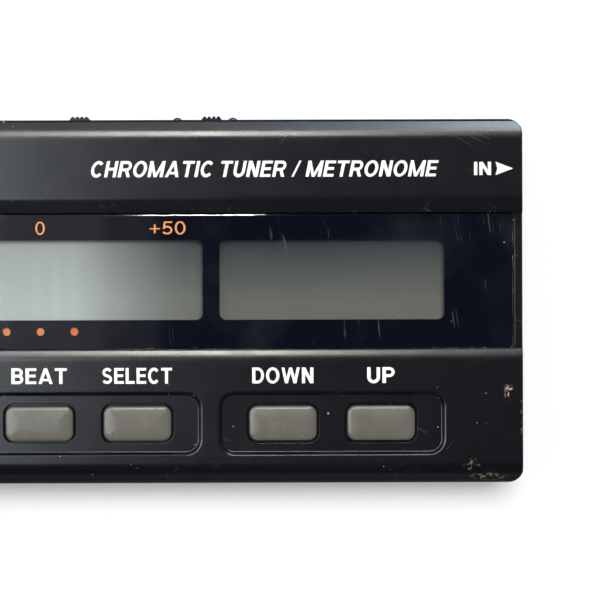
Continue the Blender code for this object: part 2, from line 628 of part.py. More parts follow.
def make_cell(name, y, axis):
    """An AAA cell with its positive button at the top of the profile."""
    rim = CELL_HALF - 0.8 * MM
    profile = [(0.0, CELL_HALF), (1.9 * MM, CELL_HALF), (1.9 * MM, rim), (4.95 * MM, rim),
               (CELL_RADIUS, rim - 0.3 * MM), (CELL_RADIUS, -CELL_HALF + 0.3 * MM),
               (4.95 * MM, -CELL_HALF), (0.0, -CELL_HALF)]
    paint(CELL_SLEEVE, turned("battery_cell_" + name, profile, (0.0, y, CELL_Z), axis, 24))


def make_spring(name, side, y):
    """A conical coil between the end plate and the cell's flat end, one polyline of wire."""
    turns, per_turn = 2.25, 12
    start, end = 24.1 * MM, 22.9 * MM
    curve = bpy.data.curves.new(name, "CURVE")
    curve.dimensions = "3D"
    curve.bevel_depth = 0.25 * MM
    curve.bevel_resolution = 1
    curve.use_fill_caps = True
    spline = curve.splines.new("POLY")
    count = int(turns * per_turn)
    spline.points.add(count)
    for number, point in enumerate(spline.points):
        part = number / count
        angle = 2 * math.pi * turns * part
        radius = (3.8 - 2.2 * part) * MM
        x = side * (start + (end - start) * part)
        point.co = (x, radius * math.cos(angle), radius * math.sin(angle), 1.0)
    coil = add_object(name, curve, (0.0, y, CELL_Z))
    paint(STEEL, mesh_from_curve(coil, False, Matrix.Identity(4)))


def make_plate(name, side, low_y, high_y):
    near, far = sorted((side * PLATE_X[0], side * PLATE_X[1]))
    paint(STEEL, box(name, (near, low_y, 3 * MM), (far, high_y, 11.6 * MM)))


def make_power():
    make_cell("front", CELLS["front"], "X")
    make_cell("rear", CELLS["rear"], "-X")
    make_spring("battery_spring_front", -1, CELLS["front"])
    make_spring("battery_spring_rear", 1, CELLS["rear"])
    make_plate("battery_plate_bridge", -1, -26.2 * MM, -7.2 * MM)
    make_plate("battery_plate_positive", 1, -25.6 * MM, -17.2 * MM)
    make_plate("battery_plate_negative", 1, -14.8 * MM, -7.2 * MM)


def make_sound():
    paint(NICKEL, rod("mic_capsule", (*MIC, 15.75 * MM), 3 * MM, 2.7 * MM))
    paint(BRASS, rod("piezo_sounder", (*SOUNDER, 2.9 * MM), 10 * MM, 0.8 * MM, segments=32))


def main():
    holes = jack_holes()
    make_top_case(holes)
    make_bottom_case(holes)
    make_battery_door()
    make_lens()
    for name, (x, y) in SCREWS.items():
        make_screw(name, x, y)
    for name, (x, y) in FEET.items():
        make_foot(name, x, y)
    for name, x in BUTTONS.items():
        make_button(name, x)
    make_display_stack()
    make_boards()
    make_slide("power", POWER_X, POWER_THROW, POWER_X + POWER_THROW)
    make_slide("volume", VOLUME_X, VOLUME_THROW, VOLUME_X)
    for name, side in JACKS.items():
        make_jack(name, side)
    make_power()
    make_sound()


main()
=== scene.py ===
"""Looks for the handheld tuner: fine case skins, printed lens, keys, knobs and every material."""
import json
import math

import bmesh
import bpy
from mathutils import Matrix, Vector


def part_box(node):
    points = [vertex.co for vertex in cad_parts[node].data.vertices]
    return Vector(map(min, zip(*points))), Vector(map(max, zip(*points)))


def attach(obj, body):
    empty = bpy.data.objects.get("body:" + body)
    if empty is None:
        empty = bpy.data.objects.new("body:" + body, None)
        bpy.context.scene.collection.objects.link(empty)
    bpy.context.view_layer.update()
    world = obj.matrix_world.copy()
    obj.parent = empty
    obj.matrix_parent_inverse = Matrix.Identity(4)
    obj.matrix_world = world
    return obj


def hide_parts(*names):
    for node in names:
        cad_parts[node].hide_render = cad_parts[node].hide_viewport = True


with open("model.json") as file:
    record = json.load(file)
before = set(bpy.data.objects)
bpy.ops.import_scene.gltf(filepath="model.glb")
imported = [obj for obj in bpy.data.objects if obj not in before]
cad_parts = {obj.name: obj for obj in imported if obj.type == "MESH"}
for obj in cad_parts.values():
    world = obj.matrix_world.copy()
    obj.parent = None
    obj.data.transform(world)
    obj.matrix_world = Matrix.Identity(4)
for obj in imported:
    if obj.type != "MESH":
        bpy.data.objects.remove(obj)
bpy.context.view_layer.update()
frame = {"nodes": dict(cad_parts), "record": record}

MM = 0.001
ORIGIN = (0.0, 0.0, 0.0)

# Places read from the frame
CASE_LOW, CASE_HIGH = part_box("bottom_case")
TOP_LOW, TOP_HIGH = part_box("top_case")
LENS_LOW, LENS_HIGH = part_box("display_lens")
PANEL_LOW, PANEL_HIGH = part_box("lcd_panel")
CASE_Y = (CASE_LOW[1] + CASE_HIGH[1]) / 2
HALF_X = CASE_HIGH[0]
HALF_Y = CASE_HIGH[1] - CASE_Y
CASE_TOP = TOP_HIGH[2]
CASE_BASE = CASE_LOW[2]
PARTING_TOP = TOP_LOW[2]
PARTING_LOW = PARTING_TOP - 0.3 * MM
BUTTONS = ("mode", "beat", "setup", "down", "up")
CORNERS = ("rear_left", "rear_right", "front_left", "front_right")
GUIDES = ("flat", "in_tune", "sharp")
KNOBS = {"power_knob": "power_slider", "volume_knob": "volume_slider"}
JACKS = {"in": 1, "out": -1}

# Case details that the solids give only in the rough
WALL = 1.6 * MM
INNER_X = HALF_X - WALL
INNER_Y = HALF_Y - WALL
INNER_RADIUS = 1.2 * MM
PLAN_RADIUS = 2.4 * MM
REAR_RADIUS = 0.8 * MM
REAR_DROP = 1.05 * MM
REAR_RUN = 2.15 * MM
FRONT_RADIUS = 3.5 * MM
LOWER_RADIUS = 1.0 * MM
SIDE_RADIUS = 0.5 * MM
TROUGH_TOP = LENS_HIGH[2]
BEVEL_DEPTH = 0.30 * MM
LEDGE_TOP = LENS_LOW[2] - 0.3 * MM
LEDGE_BASE = LEDGE_TOP - 1.2 * MM
REAR_SLOPE = 2.5 * MM
FRONT_SLOPE = 1.15 * MM
LENS_GAP = 0.12 * MM
LENS_CHAMFER = 0.32 * MM
LENS_CHAMFER_TILT = 13.0
MASK_TOP = LENS_LOW[2] + 0.30 * MM
MASK_THICKNESS = 0.10 * MM
RECESS_DEPTH = 0.6 * MM
RECESS_RADIUS = 2.7 * MM
RECESS_RIM = 0.40 * MM
RECESS_FILLET = 0.25 * MM
RECESS_TILT = 50.0
RECESS_SIDE = 5.0 * MM
RECESS_REAR = 2.4 * MM
RECESS_FRONT = 2.5 * MM
KEY_GAP = 0.4 * MM
KEY_RADIUS = 1.35 * MM
FLANGE = 0.8 * MM
KEY_RIM = 0.70 * MM
KEY_RIM_FALL = 0.45 * MM
KEY_DOME = 0.10 * MM
KEY_RIM_TURN = 78.0
KEY_FLAT = 2.3 * MM
KEY_ROOF = 17.4 * MM
KEY_ROOM_X = 54.5 * MM
KEY_ROOM_Y = (-26.4 * MM, -9.6 * MM)
GUIDE_RADIUS = 0.85 * MM
MIC_RADIUS = 0.6 * MM
JACK_HOLE_RADIUS = 4.8 * MM
JACK_BORE = 3.5 * MM
GUARD_REACH = 4.45 * MM
GUARD_RADIUS = 0.85 * MM
GUARD_PROUD = 0.7 * MM
GUARD_HEIGHT = 3.3 * MM
POWER_THROW = 1.0 * MM
VOLUME_THROW = 2.0 * MM
RIDGES = 4
RIDGE_PITCH = 0.74 * MM
RIDGE_DEPTH = 0.33 * MM
RIDGE_FOOT = 0.34 * MM
RIDGE_CREST = 0.13 * MM
KNOB_ROOT = 25.75 * MM
LIP_INSET = 0.75 * MM
BOSS_RADIUS = 3.8 * MM
COUNTERBORE_RADIUS = 2.5 * MM
SCREW_RADIUS = 1.4 * MM
FOOT_GAP = 0.2 * MM
SOUND_SLOTS = 5
SOUND_PITCH = 2.2 * MM
SOUND_HALF_X = 5.0 * MM
SOUND_HALF_Y = 0.5 * MM
DOOR_HALF = 24.0 * MM
DOOR_GAP = 0.25 * MM
GRIP_GROOVES = 4
GRIP_PITCH = 1.3 * MM
SOFT_EDGE = 0.10 * MM

# Print, measured from the case's middle
WINDOWS = {"left": (-45.15 * MM, 6.65 * MM), "right": (9.33 * MM, 45.15 * MM)}
WINDOW_Y = (-2.88 * MM, 9.87 * MM)
WINDOW_RADIUS = 1.1 * MM
GUIDE_PRINT_RADIUS = 0.65 * MM
TITLE = "CHROMATIC TUNER / METRONOME"
TITLE_HEIGHT = 2.55 * MM
TITLE_X = (-10.9 * MM, 44.2 * MM)
TITLE_Y = 21.05 * MM
TITLE_SLANT = 0.21
# Text and width
LABELS = {"mode": ("MODE", 9.6 * MM), "beat": ("BEAT", 8.8 * MM), "setup": ("SELECT", 11.0 * MM),
          "down": ("DOWN", 9.7 * MM), "up": ("UP", 4.35 * MM)}
LABEL_HEIGHT = 2.5 * MM
LABEL_Y = -11.7 * MM
# Text, left end and right end
PLUG_MARKS = {"in": ("IN", 49.8 * MM, 52.5 * MM), "out": ("OUT", -52.5 * MM, -47.4 * MM)}
PLUG_MARK_HEIGHT = 2.1 * MM
PLUG_MARK_Y = 21.0 * MM
# Text, middle and half width in millimetres
SCALE = {"low": ("-50", -39.6, 2.6), "zero": ("0", -19.25, 0.75), "high": ("+50", 1.07, 2.87)}
SCALE_HEIGHT = 2.06 * MM
SCALE_Y = 11.8 * MM
INK_PROUD = 0.02 * MM
INK_SUNK = 0.01 * MM
LETTER_GAP = 0.13
LETTER_DEPTH = 0.02

# Camera
CAMERA_PLACE = (22.15 * MM, 0.24 * MM)
CAMERA_DISTANCE = 0.400
CAMERA_ROLL = -0.18
FRAME_WIDTH = 95.1 * MM
SENSOR_WIDTH = 36.0


def centre_of(node):
    low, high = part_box(node)
    return [(a + b) / 2 for a, b in zip(low, high)]


def from_case(y):
    """A distance from the case's middle line as a world Y."""
    return y + CASE_Y


# ---- modelling helpers

def put(name, mesh):
    obj = bpy.data.objects.new(name, mesh)
    bpy.context.scene.collection.objects.link(obj)
    return obj


def put_bmesh(name, bm):
    mesh = bpy.data.meshes.new(name)
    bm.to_mesh(mesh)
    bm.free()
    return put(name, mesh)


def upright_edges(bm, height):
    return [e for e in bm.edges if abs(e.verts[0].co.z - e.verts[1].co.z) > height / 2]


def rim_edges(bm, z):
    return [e for e in bm.edges if all(abs(v.co.z - z) < 1e-7 for v in e.verts)]


def box(name, low, high, radius=0.0, segments=6):
    """A box between two corners, its upright edges rounded."""
    low = Vector(low)
    high = Vector(high)
    size = high - low
    matrix = Matrix.Translation((low + high) / 2) @ Matrix.Diagonal((*size, 1.0))
    bm = bmesh.new()
    bmesh.ops.create_cube(bm, size=1.0, matrix=matrix)
    if radius:
        bmesh.ops.bevel(bm, geom=upright_edges(bm, size.z), offset=radius, segments=segments,
                        profile=0.5, affect="EDGES")
    return put_bmesh(name, bm)


TURNS = {
    "X": Matrix.Rotation(math.pi / 2, 4, "Y"),
    "Y": Matrix.Rotation(-math.pi / 2, 4, "X"),
    "Z": Matrix.Identity(4),
}


def rod(name, centre, radius, length, axis="Z", segments=48):
    bm = bmesh.new()
    bmesh.ops.create_cone(bm, cap_ends=True, segments=segments, radius1=radius, radius2=radius,
                          depth=length, matrix=Matrix.Translation(centre) @ TURNS[axis])
    return put_bmesh(name, bm)


def turned(name, profile, centre, axis="Z", steps=48):
    """A solid of revolution from (radius, height) points, top to bottom."""
    bm = bmesh.new()
    verts = [bm.verts.new((radius, 0.0, height)) for radius, height in profile]
    edges = [bm.edges.new(pair) for pair in zip(verts, verts[1:])]
    bmesh.ops.spin(bm, geom=verts + edges, cent=ORIGIN, axis=(0.0, 0.0, 1.0),
                   angle=2 * math.pi, steps=steps, use_merge=True)
    bmesh.ops.remove_doubles(bm, verts=bm.verts, dist=0.001 * MM)
    bmesh.ops.recalc_face_normals(bm, faces=bm.faces)
    bmesh.ops.transform(bm, matrix=Matrix.Translation(centre) @ TURNS[axis], verts=bm.verts)
    return put_bmesh(name, bm)


def rounded(corners, segments=10):
    """A closed outline from (u, v, radius) corners, each corner an arc of its radius."""
    points = []
    count = len(corners)
    for i, (u, v, radius) in enumerate(corners):
        here = Vector((u, v))
        if not radius:
            points.append(here)
            continue
        back = (Vector(corners[i - 1][:2]) - here).normalized()
        ahead = (Vector(corners[(i + 1) % count][:2]) - here).normalized()
        half = back.angle(ahead) / 2
        middle = here + (back + ahead).normalized() * radius / math.sin(half)
        start = here + back * radius / math.tan(half) - middle
        end = here + ahead * radius / math.tan(half) - middle
        turn = start.angle_signed(end)
        for step in range(segments + 1):
            points.append(middle + Matrix.Rotation(-turn * step / segments, 2) @ start)
    return [tuple(p) for p in points]


def rectangle(x_low, x_high, y_low, y_high, radius, segments=8):
    return rounded([(x_low, y_low, radius), (x_high, y_low, radius),
                    (x_high, y_high, radius), (x_low, y_high, radius)], segments)


def lofted(name, rings):
    """A solid through level outlines of equal point counts, from (outline, z) pairs."""
    bm = bmesh.new()
    loops = [[bm.verts.new((u, v, z)) for u, v in outline] for outline, z in rings]
    for upper, lower in zip(loops, loops[1:]):
        for i in range(len(upper)):
            bm.faces.new((upper[i - 1], upper[i], lower[i], lower[i - 1]))
    bm.faces.new(loops[0])
    bm.faces.new(loops[-1])
    bmesh.ops.recalc_face_normals(bm, faces=bm.faces)
    return put_bmesh(name, bm)


def circle(x, y, radius, segments=32):
    return [(x + radius * math.cos(2 * math.pi * i / segments),
             y + radius * math.sin(2 * math.pi * i / segments)) for i in range(segments)]


def plate(name, loops, low, high, along="Z"):
    """Flat outlines, holes included, filled and extruded between two stations."""
    curve = bpy.data.curves.new(name, "CURVE")
    curve.dimensions = "2D"
    curve.fill_mode = "BOTH"
    curve.extrude = (high - low) / 2
    for loop in loops:
        spline = curve.splines.new("POLY")
        spline.points.add(len(loop) - 1)
        for point, (u, v) in zip(spline.points, loop):
            point.co = (u, v, 0.0, 1.0)
        spline.use_cyclic_u = True
    drawn = put(name, curve)
    matrix = Matrix.Translation((0.0, 0.0, (low + high) / 2))
    if along == "X":
        matrix = Matrix(((0, 0, 1, 0), (1, 0, 0, 0), (0, 1, 0, 0), (0, 0, 0, 1))) @ matrix
    return solid_from(drawn, matrix)


def solid_from(drawn, matrix):
    """Replaces a curve or text object with a welded closed mesh."""
    name = drawn.name
    evaluated = drawn.evaluated_get(bpy.context.evaluated_depsgraph_get())
    mesh = bpy.data.meshes.new_from_object(evaluated)
    bm = bmesh.new()
    bm.from_mesh(mesh)
    bmesh.ops.remove_doubles(bm, verts=bm.verts, dist=0.0005 * MM)
    bmesh.ops.transform(bm, matrix=matrix, verts=bm.verts)
    bmesh.ops.recalc_face_normals(bm, faces=bm.faces)
    data = drawn.data
    bpy.data.objects.remove(drawn, do_unlink=True)
    bpy.data.curves.remove(data)
    bpy.data.meshes.remove(mesh)
    return put_bmesh(name, bm)


def combine(target, cutters, operation="DIFFERENCE"):
    """Cuts or joins a list of solids, then removes them."""
    for cutter in cutters:
        modifier = target.modifiers.new(cutter.name, "BOOLEAN")
        modifier.operation = operation
        modifier.solver = "EXACT"
        modifier.object = cutter
    settle(target)
    for cutter in cutters:
        mesh = cutter.data
        bpy.data.objects.remove(cutter, do_unlink=True)
        bpy.data.meshes.remove(mesh)


def settle(obj):
    """Applies an object's modifiers."""
    evaluated = obj.evaluated_get(bpy.context.evaluated_depsgraph_get())
    mesh = bpy.data.meshes.new_from_object(evaluated)
    old = obj.data
    obj.modifiers.clear()
    obj.data = mesh
    bpy.data.meshes.remove(old)


def clean(obj, weld=0.002 * MM):
    """Welds what Booleans leave behind and joins faces that lie in one plane."""
    bm = bmesh.new()
    bm.from_mesh(obj.data)
    bmesh.ops.remove_doubles(bm, verts=bm.verts, dist=weld)
    bmesh.ops.dissolve_limit(bm, angle_limit=math.radians(0.5), verts=bm.verts, edges=bm.edges)
    bm.to_mesh(obj.data)
    bm.free()


def soften(obj, width, segments=3, angle=28.0):
    """Rounds the sharp edges and shades the rest smooth."""
    obj.data.shade_smooth()
    bevel = obj.modifiers.new("soft_edges", "BEVEL")
    bevel.width = width
    bevel.segments = segments
    bevel.limit_method = "ANGLE"
    bevel.angle_limit = math.radians(angle)
    bevel.use_clamp_overlap = False
    bevel.harden_normals = True
    bevel.miter_outer = "MITER_ARC"
    level = obj.modifiers.new("level_normals", "WEIGHTED_NORMAL")
    level.keep_sharp = True
    settle(obj)


# ---- material helpers

def new_material(name):
    """A material, its tree and its shader, and the point on the object in metres."""
    mat = bpy.data.materials.new(name)
    mat.use_nodes = True
    tree = mat.node_tree
    point = add(tree, "ShaderNodeTexCoord").outputs["Object"]
    return mat, tree, tree.nodes["Principled BSDF"], point


def add(tree, kind, inputs=None, **settings):
    node = tree.nodes.new(kind)
    for key, value in settings.items():
        setattr(node, key, value)
    for key, value in (inputs or {}).items():
        if isinstance(value, bpy.types.NodeSocket):
            tree.links.new(value, node.inputs[key])
        else:
            node.inputs[key].default_value = value
    return node


def noise(tree, vector, scale, detail=3.0, roughness=0.5, stretch=None, turn=0.0):
    if turn:
        turned_axes = add(tree, "ShaderNodeMapping", {"Vector": vector, "Rotation": (0.0, 0.0, turn)})
        vector = turned_axes.outputs["Vector"]
    if stretch:
        vector = add(tree, "ShaderNodeMapping", {"Vector": vector, "Scale": stretch}).outputs["Vector"]
    texture = add(tree, "ShaderNodeTexNoise", {"Vector": vector, "Scale": scale,
                                               "Detail": detail, "Roughness": roughness})
    return texture.outputs["Fac"]


def spread(tree, value, low, high, to_low=0.0, to_high=1.0):
    """Maps a value from one range to another, clamped."""
    ranged = add(tree, "ShaderNodeMapRange", {"Value": value, "From Min": low, "From Max": high,
                                              "To Min": to_low, "To Max": to_high})
    return ranged.outputs["Result"]


def calculate(tree, operation, first, second):
    return add(tree, "ShaderNodeMath", {0: first, 1: second}, operation=operation).outputs["Value"]


def blend(tree, factor, first, second):
    """A colour mix; first and second are colours or sockets."""
    mix = tree.nodes.new("ShaderNodeMix")
    mix.data_type = "RGBA"
    for socket, value in ((mix.inputs[0], factor), (mix.inputs[6], first), (mix.inputs[7], second)):
        if isinstance(value, bpy.types.NodeSocket):
            tree.links.new(value, socket)
        elif isinstance(value, tuple):
            socket.default_value = (*value, 1.0)
        else:
            socket.default_value = value
    return mix.outputs[2]


def specks(tree, vector, cell, size, share):
    """Small scattered dots: one cell in so many holds a dot of the given size."""
    voronoi = add(tree, "ShaderNodeTexVoronoi", {"Vector": vector, "Scale": 1.0 / cell})
    dot = spread(tree, voronoi.outputs["Distance"], size / cell, 0.35 * size / cell)
    chance = add(tree, "ShaderNodeSeparateColor", {"Color": voronoi.outputs["Color"]})
    chosen = calculate(tree, "LESS_THAN", chance.outputs["Red"], share)
    return calculate(tree, "MULTIPLY", dot, chosen)


def scratches(tree, vector, scale, turn, threshold):
    """Short hairlines: the crests of a noise drawn out one way, kept in a few places only."""
    lines = noise(tree, vector, scale, 1.0, 0.4, stretch=(0.07, 1.0, 1.0), turn=turn)
    places = spread(tree, noise(tree, vector, 190.0, 1.0), 0.56, 0.66)
    return calculate(tree, "MULTIPLY", spread(tree, lines, threshold, threshold + 0.05), places)


def patch(tree, vector, centre, size):
    """One inside an ellipsoid, falling to nothing at its edge."""
    offset = add(tree, "ShaderNodeVectorMath", {0: vector, 1: centre}, operation="SUBTRACT")
    scaled = add(tree, "ShaderNodeVectorMath", {0: offset.outputs["Vector"], 1: size},
                 operation="DIVIDE")
    length = add(tree, "ShaderNodeVectorMath", {0: scaled.outputs["Vector"]}, operation="LENGTH")
    return spread(tree, length.outputs["Value"], 1.0, 0.5)


def bump(tree, shader, height, strength, distance):
    node = add(tree, "ShaderNodeBump", {"Height": height, "Strength": strength,
                                        "Distance": distance})
    tree.links.new(node.outputs["Normal"], shader.inputs["Normal"])


def wire(tree, shader, **sockets):
    for name, socket in sockets.items():
        tree.links.new(socket, shader.inputs[name.replace("_", " ")])


# ---- materials

def case_plastic():
    """Black moulded plastic: fine grain, haze, hairlines, dust and worn corners."""
    mat, tree, shader, point = new_material("case_plastic_worn")
    cloud = noise(tree, point, 45.0, 4.0, 0.6)
    colour = blend(tree, cloud, (0.0022, 0.0025, 0.0040), (0.0044, 0.0046, 0.0056))
    line = calculate(tree, "MAXIMUM", scratches(tree, point, 2600.0, 0.5, 0.66),
                     scratches(tree, point, 2100.0, -0.9, 0.67))
    colour = blend(tree, calculate(tree, "MULTIPLY", line, 0.25), colour, (0.06, 0.06, 0.06))
    front = spread(tree, add(tree, "ShaderNodeSeparateXYZ", {"Vector": point}).outputs["Y"],
                   from_case(-12 * MM), from_case(-15 * MM))
    dust = calculate(tree, "MAXIMUM", specks(tree, point, 6.5 * MM, 0.20 * MM, 0.30),
                     specks(tree, point, 2.6 * MM, 0.11 * MM, 0.16))
    settled = calculate(tree, "MULTIPLY", specks(tree, point, 1.25 * MM, 0.11 * MM, 0.30), front)
    dust = calculate(tree, "MAXIMUM", dust, settled)
    colour = blend(tree, calculate(tree, "MULTIPLY", dust, 0.8), colour, (0.46, 0.46, 0.44))
    crumbs = noise(tree, point, 1500.0, 4.0, 0.6)
    # Worn spots: x, y and half sizes in millimetres, then the level and strength of the wear
    marks = ((55.2, -14.4, 0.8, 1.6, 0.54, 1.0), (49.4, -25.6, 1.7, 1.4, 0.53, 0.28),
             (52.0, -27.9, 3.6, 0.8, 0.51, 0.30), (57.3, -19.0, 0.4, 5.0, 0.56, 0.25))
    for x, y, half_x, half_y, level, strength in marks:
        spot = patch(tree, point, (x * MM, from_case(y * MM), CASE_TOP),
                     (half_x * MM, half_y * MM, 4 * MM))
        worn = calculate(tree, "MULTIPLY", spot, spread(tree, crumbs, level, level + 0.03))
        colour = blend(tree, calculate(tree, "MULTIPLY", worn, strength), colour, (0.42, 0.32, 0.22))
    rough = spread(tree, noise(tree, point, 300.0, 4.0, 0.6), 0.3, 0.7, 0.20, 0.24)
    rough = calculate(tree, "SUBTRACT", rough, calculate(tree, "MULTIPLY", line, 0.03))
    wire(tree, shader, Base_Color=colour, Roughness=rough)
    bump(tree, shader, noise(tree, point, 5200.0, 2.0, 0.5), 0.16, 0.02 * MM)
    return mat


def key_plastic():
    """Warm grey satin caps with fine grain and flecks; below the top rim their sides carry painted shade
    for the gap around them.
    """
    mat, tree, shader, point = new_material("key_plastic_satin")
    cloud = noise(tree, point, 260.0, 4.0, 0.6)
    colour = blend(tree, spread(tree, cloud, 0.3, 0.7), (0.098, 0.093, 0.079), (0.116, 0.110, 0.091))
    fleck = specks(tree, point, 1.6 * MM, 0.07 * MM, 0.2)
    colour = blend(tree, calculate(tree, "MULTIPLY", fleck, 0.5), colour, (0.45, 0.45, 0.43))
    # Painted shade: below the top rim the cap darkens to near black, standing in for the shadow in the
    # gap around it.
    height = add(tree, "ShaderNodeSeparateXYZ", {"Vector": point}).outputs["Z"]
    painted_gap_shade = spread(tree, height, CASE_TOP - 0.3 * MM, CASE_TOP - 1.0 * MM)
    colour = blend(tree, painted_gap_shade, colour, (0.004, 0.004, 0.004))
    wire(tree, shader, Base_Color=colour, Roughness=spread(tree, cloud, 0.3, 0.7, 0.22, 0.30))
    bump(tree, shader, noise(tree, point, 9000.0, 2.0), 0.15, 0.02 * MM)
    return mat


def clear_lens():
    """Clear acrylic: what is behind shows through, each face mirrors a little and carries dust."""
    mat, tree, shader, point = new_material("lens_clear")
    tree.nodes.remove(shader)
    output = tree.nodes["Material Output"]
    haze = noise(tree, point, 55.0, 4.0, 0.6)
    rough = spread(tree, haze, 0.3, 0.7, 0.03, 0.08)
    gloss = add(tree, "ShaderNodeBsdfAnisotropic", {"Color": (1, 1, 1, 1), "Roughness": rough})
    clear = add(tree, "ShaderNodeBsdfTransparent", {"Color": (0.97, 0.98, 0.98, 1)})
    tilt = add(tree, "ShaderNodeLayerWeight", {"Blend": 0.5}).outputs["Facing"]
    mirror = spread(tree, calculate(tree, "POWER", tilt, 5.0), 0.0, 1.0, 0.03, 1.0)
    surface = add(tree, "ShaderNodeMixShader", {0: mirror, 1: clear.outputs[0],
                                                2: gloss.outputs[0]})
    dust = calculate(tree, "MAXIMUM", specks(tree, point, 6.0 * MM, 0.20 * MM, 0.30),
                     specks(tree, point, 2.2 * MM, 0.09 * MM, 0.16))
    line = scratches(tree, point, 2300.0, 1.45, 0.72)
    dirt = calculate(tree, "MAXIMUM", dust, calculate(tree, "MULTIPLY", line, 0.14))
    smear = spread(tree, haze, 0.50, 0.75, 0.0, 0.010)
    dirt = calculate(tree, "MAXIMUM", calculate(tree, "MULTIPLY", dirt, 0.7), smear)
    chalk = add(tree, "ShaderNodeBsdfDiffuse", {"Color": (0.55, 0.58, 0.58, 1)})
    dirty = add(tree, "ShaderNodeMixShader", {0: dirt, 1: surface.outputs[0], 2: chalk.outputs[0]})
    tree.links.new(dirty.outputs[0], output.inputs["Surface"])
    return mat


def mask_print():
    """Blue-black ink behind the lens."""
    mat, tree, shader, point = new_material("mask_print_ink")
    cloud = noise(tree, point, 60.0, 3.0)
    wire(tree, shader, Base_Color=blend(tree, cloud, (0.0008, 0.0013, 0.0050),
                                        (0.0016, 0.0022, 0.0070)),
         Roughness=spread(tree, cloud, 0.3, 0.7, 0.5, 0.7))
    shader.inputs["Specular IOR Level"].default_value = 0.0
    return mat


def lcd_glass():
    """Grey-green display film over a silvery reflector, with a painted reflection that pales it towards
    the left end and painted shade that darkens it towards the rear.
    """
    mat, tree, shader, point = new_material("lcd_film")
    cloud = spread(tree, noise(tree, point, 30.0, 3.0), 0.3, 0.7)
    axes = add(tree, "ShaderNodeSeparateXYZ", {"Vector": point}).outputs
    plain = blend(tree, cloud, (0.110, 0.110, 0.096), (0.124, 0.123, 0.106))
    # Painted reflection: the film turns pale with lighter streaks towards the left end, standing in for a
    # lamp mirrored in it.
    painted_reflection_colour = blend(tree, cloud, (0.370, 0.395, 0.385), (0.415, 0.440, 0.430))
    painted_reflection = calculate(tree, "POWER", spread(tree, axes["X"], 12 * MM, -14 * MM), 2.3)
    bands = noise(tree, point, 260.0, 1.0, 0.4, stretch=(1.0, 0.04, 1.0))
    streak = calculate(tree, "MULTIPLY", spread(tree, bands, 0.54, 0.66), 0.30)
    painted_reflection_colour = blend(tree, streak, painted_reflection_colour, (0.48, 0.50, 0.49))
    # Painted shadow: the film darkens towards the rear, standing in for the shade that the mask's rear
    # edge casts on it.
    rear = spread(tree, axes["Y"], from_case(0 * MM), from_case(9 * MM))
    plain = blend(tree, rear, plain, (0.030, 0.036, 0.038))
    painted_reflection_colour = blend(tree, calculate(tree, "MULTIPLY", rear, 0.62), painted_reflection_colour, (0.24, 0.26, 0.25))
    colour = blend(tree, painted_reflection, plain, painted_reflection_colour)
    wire(tree, shader, Base_Color=colour, Roughness=spread(tree, cloud, 0.0, 1.0, 0.30, 0.40))
    shader.inputs["Specular IOR Level"].default_value = 0.2
    bump(tree, shader, noise(tree, point, 4000.0, 2.0), 0.05, 0.01 * MM)
    return mat


def plain_plastic(name, dark, light, rough_low, rough_high, scale=220.0):
    """Moulded plastic whose colour and gloss drift a little."""
    mat, tree, shader, point = new_material(name)
    cloud = spread(tree, noise(tree, point, scale, 4.0, 0.6), 0.3, 0.7)
    wire(tree, shader, Base_Color=blend(tree, cloud, dark, light),
         Roughness=spread(tree, cloud, 0.0, 1.0, rough_low, rough_high))
    bump(tree, shader, noise(tree, point, 8000.0, 2.0), 0.1, 0.02 * MM)
    return mat


def plated_metal(name, dark, light, rough_low, rough_high, stretch):
    """Plated or drawn metal with fine lines along one direction."""
    mat, tree, shader, point = new_material(name)
    lines = spread(tree, noise(tree, point, 3000.0, 3.0, 0.6, stretch=stretch), 0.3, 0.7)
    tarnish = spread(tree, noise(tree, point, 400.0, 4.0, 0.6), 0.35, 0.7)
    wire(tree, shader, Base_Color=blend(tree, tarnish, light, dark),
         Roughness=spread(tree, lines, 0.0, 1.0, rough_low, rough_high))
    shader.inputs["Metallic"].default_value = 1.0
    bump(tree, shader, lines, 0.08, 0.01 * MM)
    return mat


def board_green():
    """Solder mask over copper tracks."""
    mat, tree, shader, point = new_material("board_solder_mask")
    tracks = add(tree, "ShaderNodeTexBrick", {"Vector": point, "Scale": 380.0, "Mortar Size": 0.08,
                                              "Color1": (1, 1, 1, 1), "Color2": (0.6, 0.6, 0.6, 1),
                                              "Mortar": (0, 0, 0, 1)})
    shade = add(tree, "ShaderNodeRGBToBW", {"Color": tracks.outputs["Color"]}).outputs[0]
    wire(tree, shader, Base_Color=blend(tree, shade, (0.03, 0.19, 0.07), (0.012, 0.10, 0.035)),
         Roughness=spread(tree, noise(tree, point, 500.0), 0.3, 0.7, 0.25, 0.40))
    bump(tree, shader, shade, 0.3, 0.02 * MM)
    return mat


def cell_sleeve():
    """A plain two-colour battery sleeve without any print."""
    mat, tree, shader, point = new_material("cell_sleeve_bands")
    along = add(tree, "ShaderNodeSeparateXYZ", {"Vector": point}).outputs["X"]
    band = calculate(tree, "GREATER_THAN", calculate(tree, "ABSOLUTE", along, 0.0), 14.0 * MM)
    cloud = noise(tree, point, 300.0, 3.0)
    blue = blend(tree, cloud, (0.02, 0.07, 0.18), (0.035, 0.10, 0.25))
    wire(tree, shader, Base_Color=blend(tree, band, blue, (0.55, 0.45, 0.25)),
         Roughness=spread(tree, cloud, 0.3, 0.7, 0.25, 0.40))
    return mat


def ink(name, worn, full):
    """Screen-printed ink, thin in places."""
    mat, tree, shader, point = new_material(name)
    wear = spread(tree, noise(tree, point, 900.0, 4.0, 0.6), 0.30, 0.55)
    wire(tree, shader, Base_Color=blend(tree, wear, worn, full),
         Roughness=spread(tree, wear, 0.0, 1.0, 0.55, 0.42))
    bump(tree, shader, noise(tree, point, 5000.0, 2.0), 0.1, 0.01 * MM)
    return mat


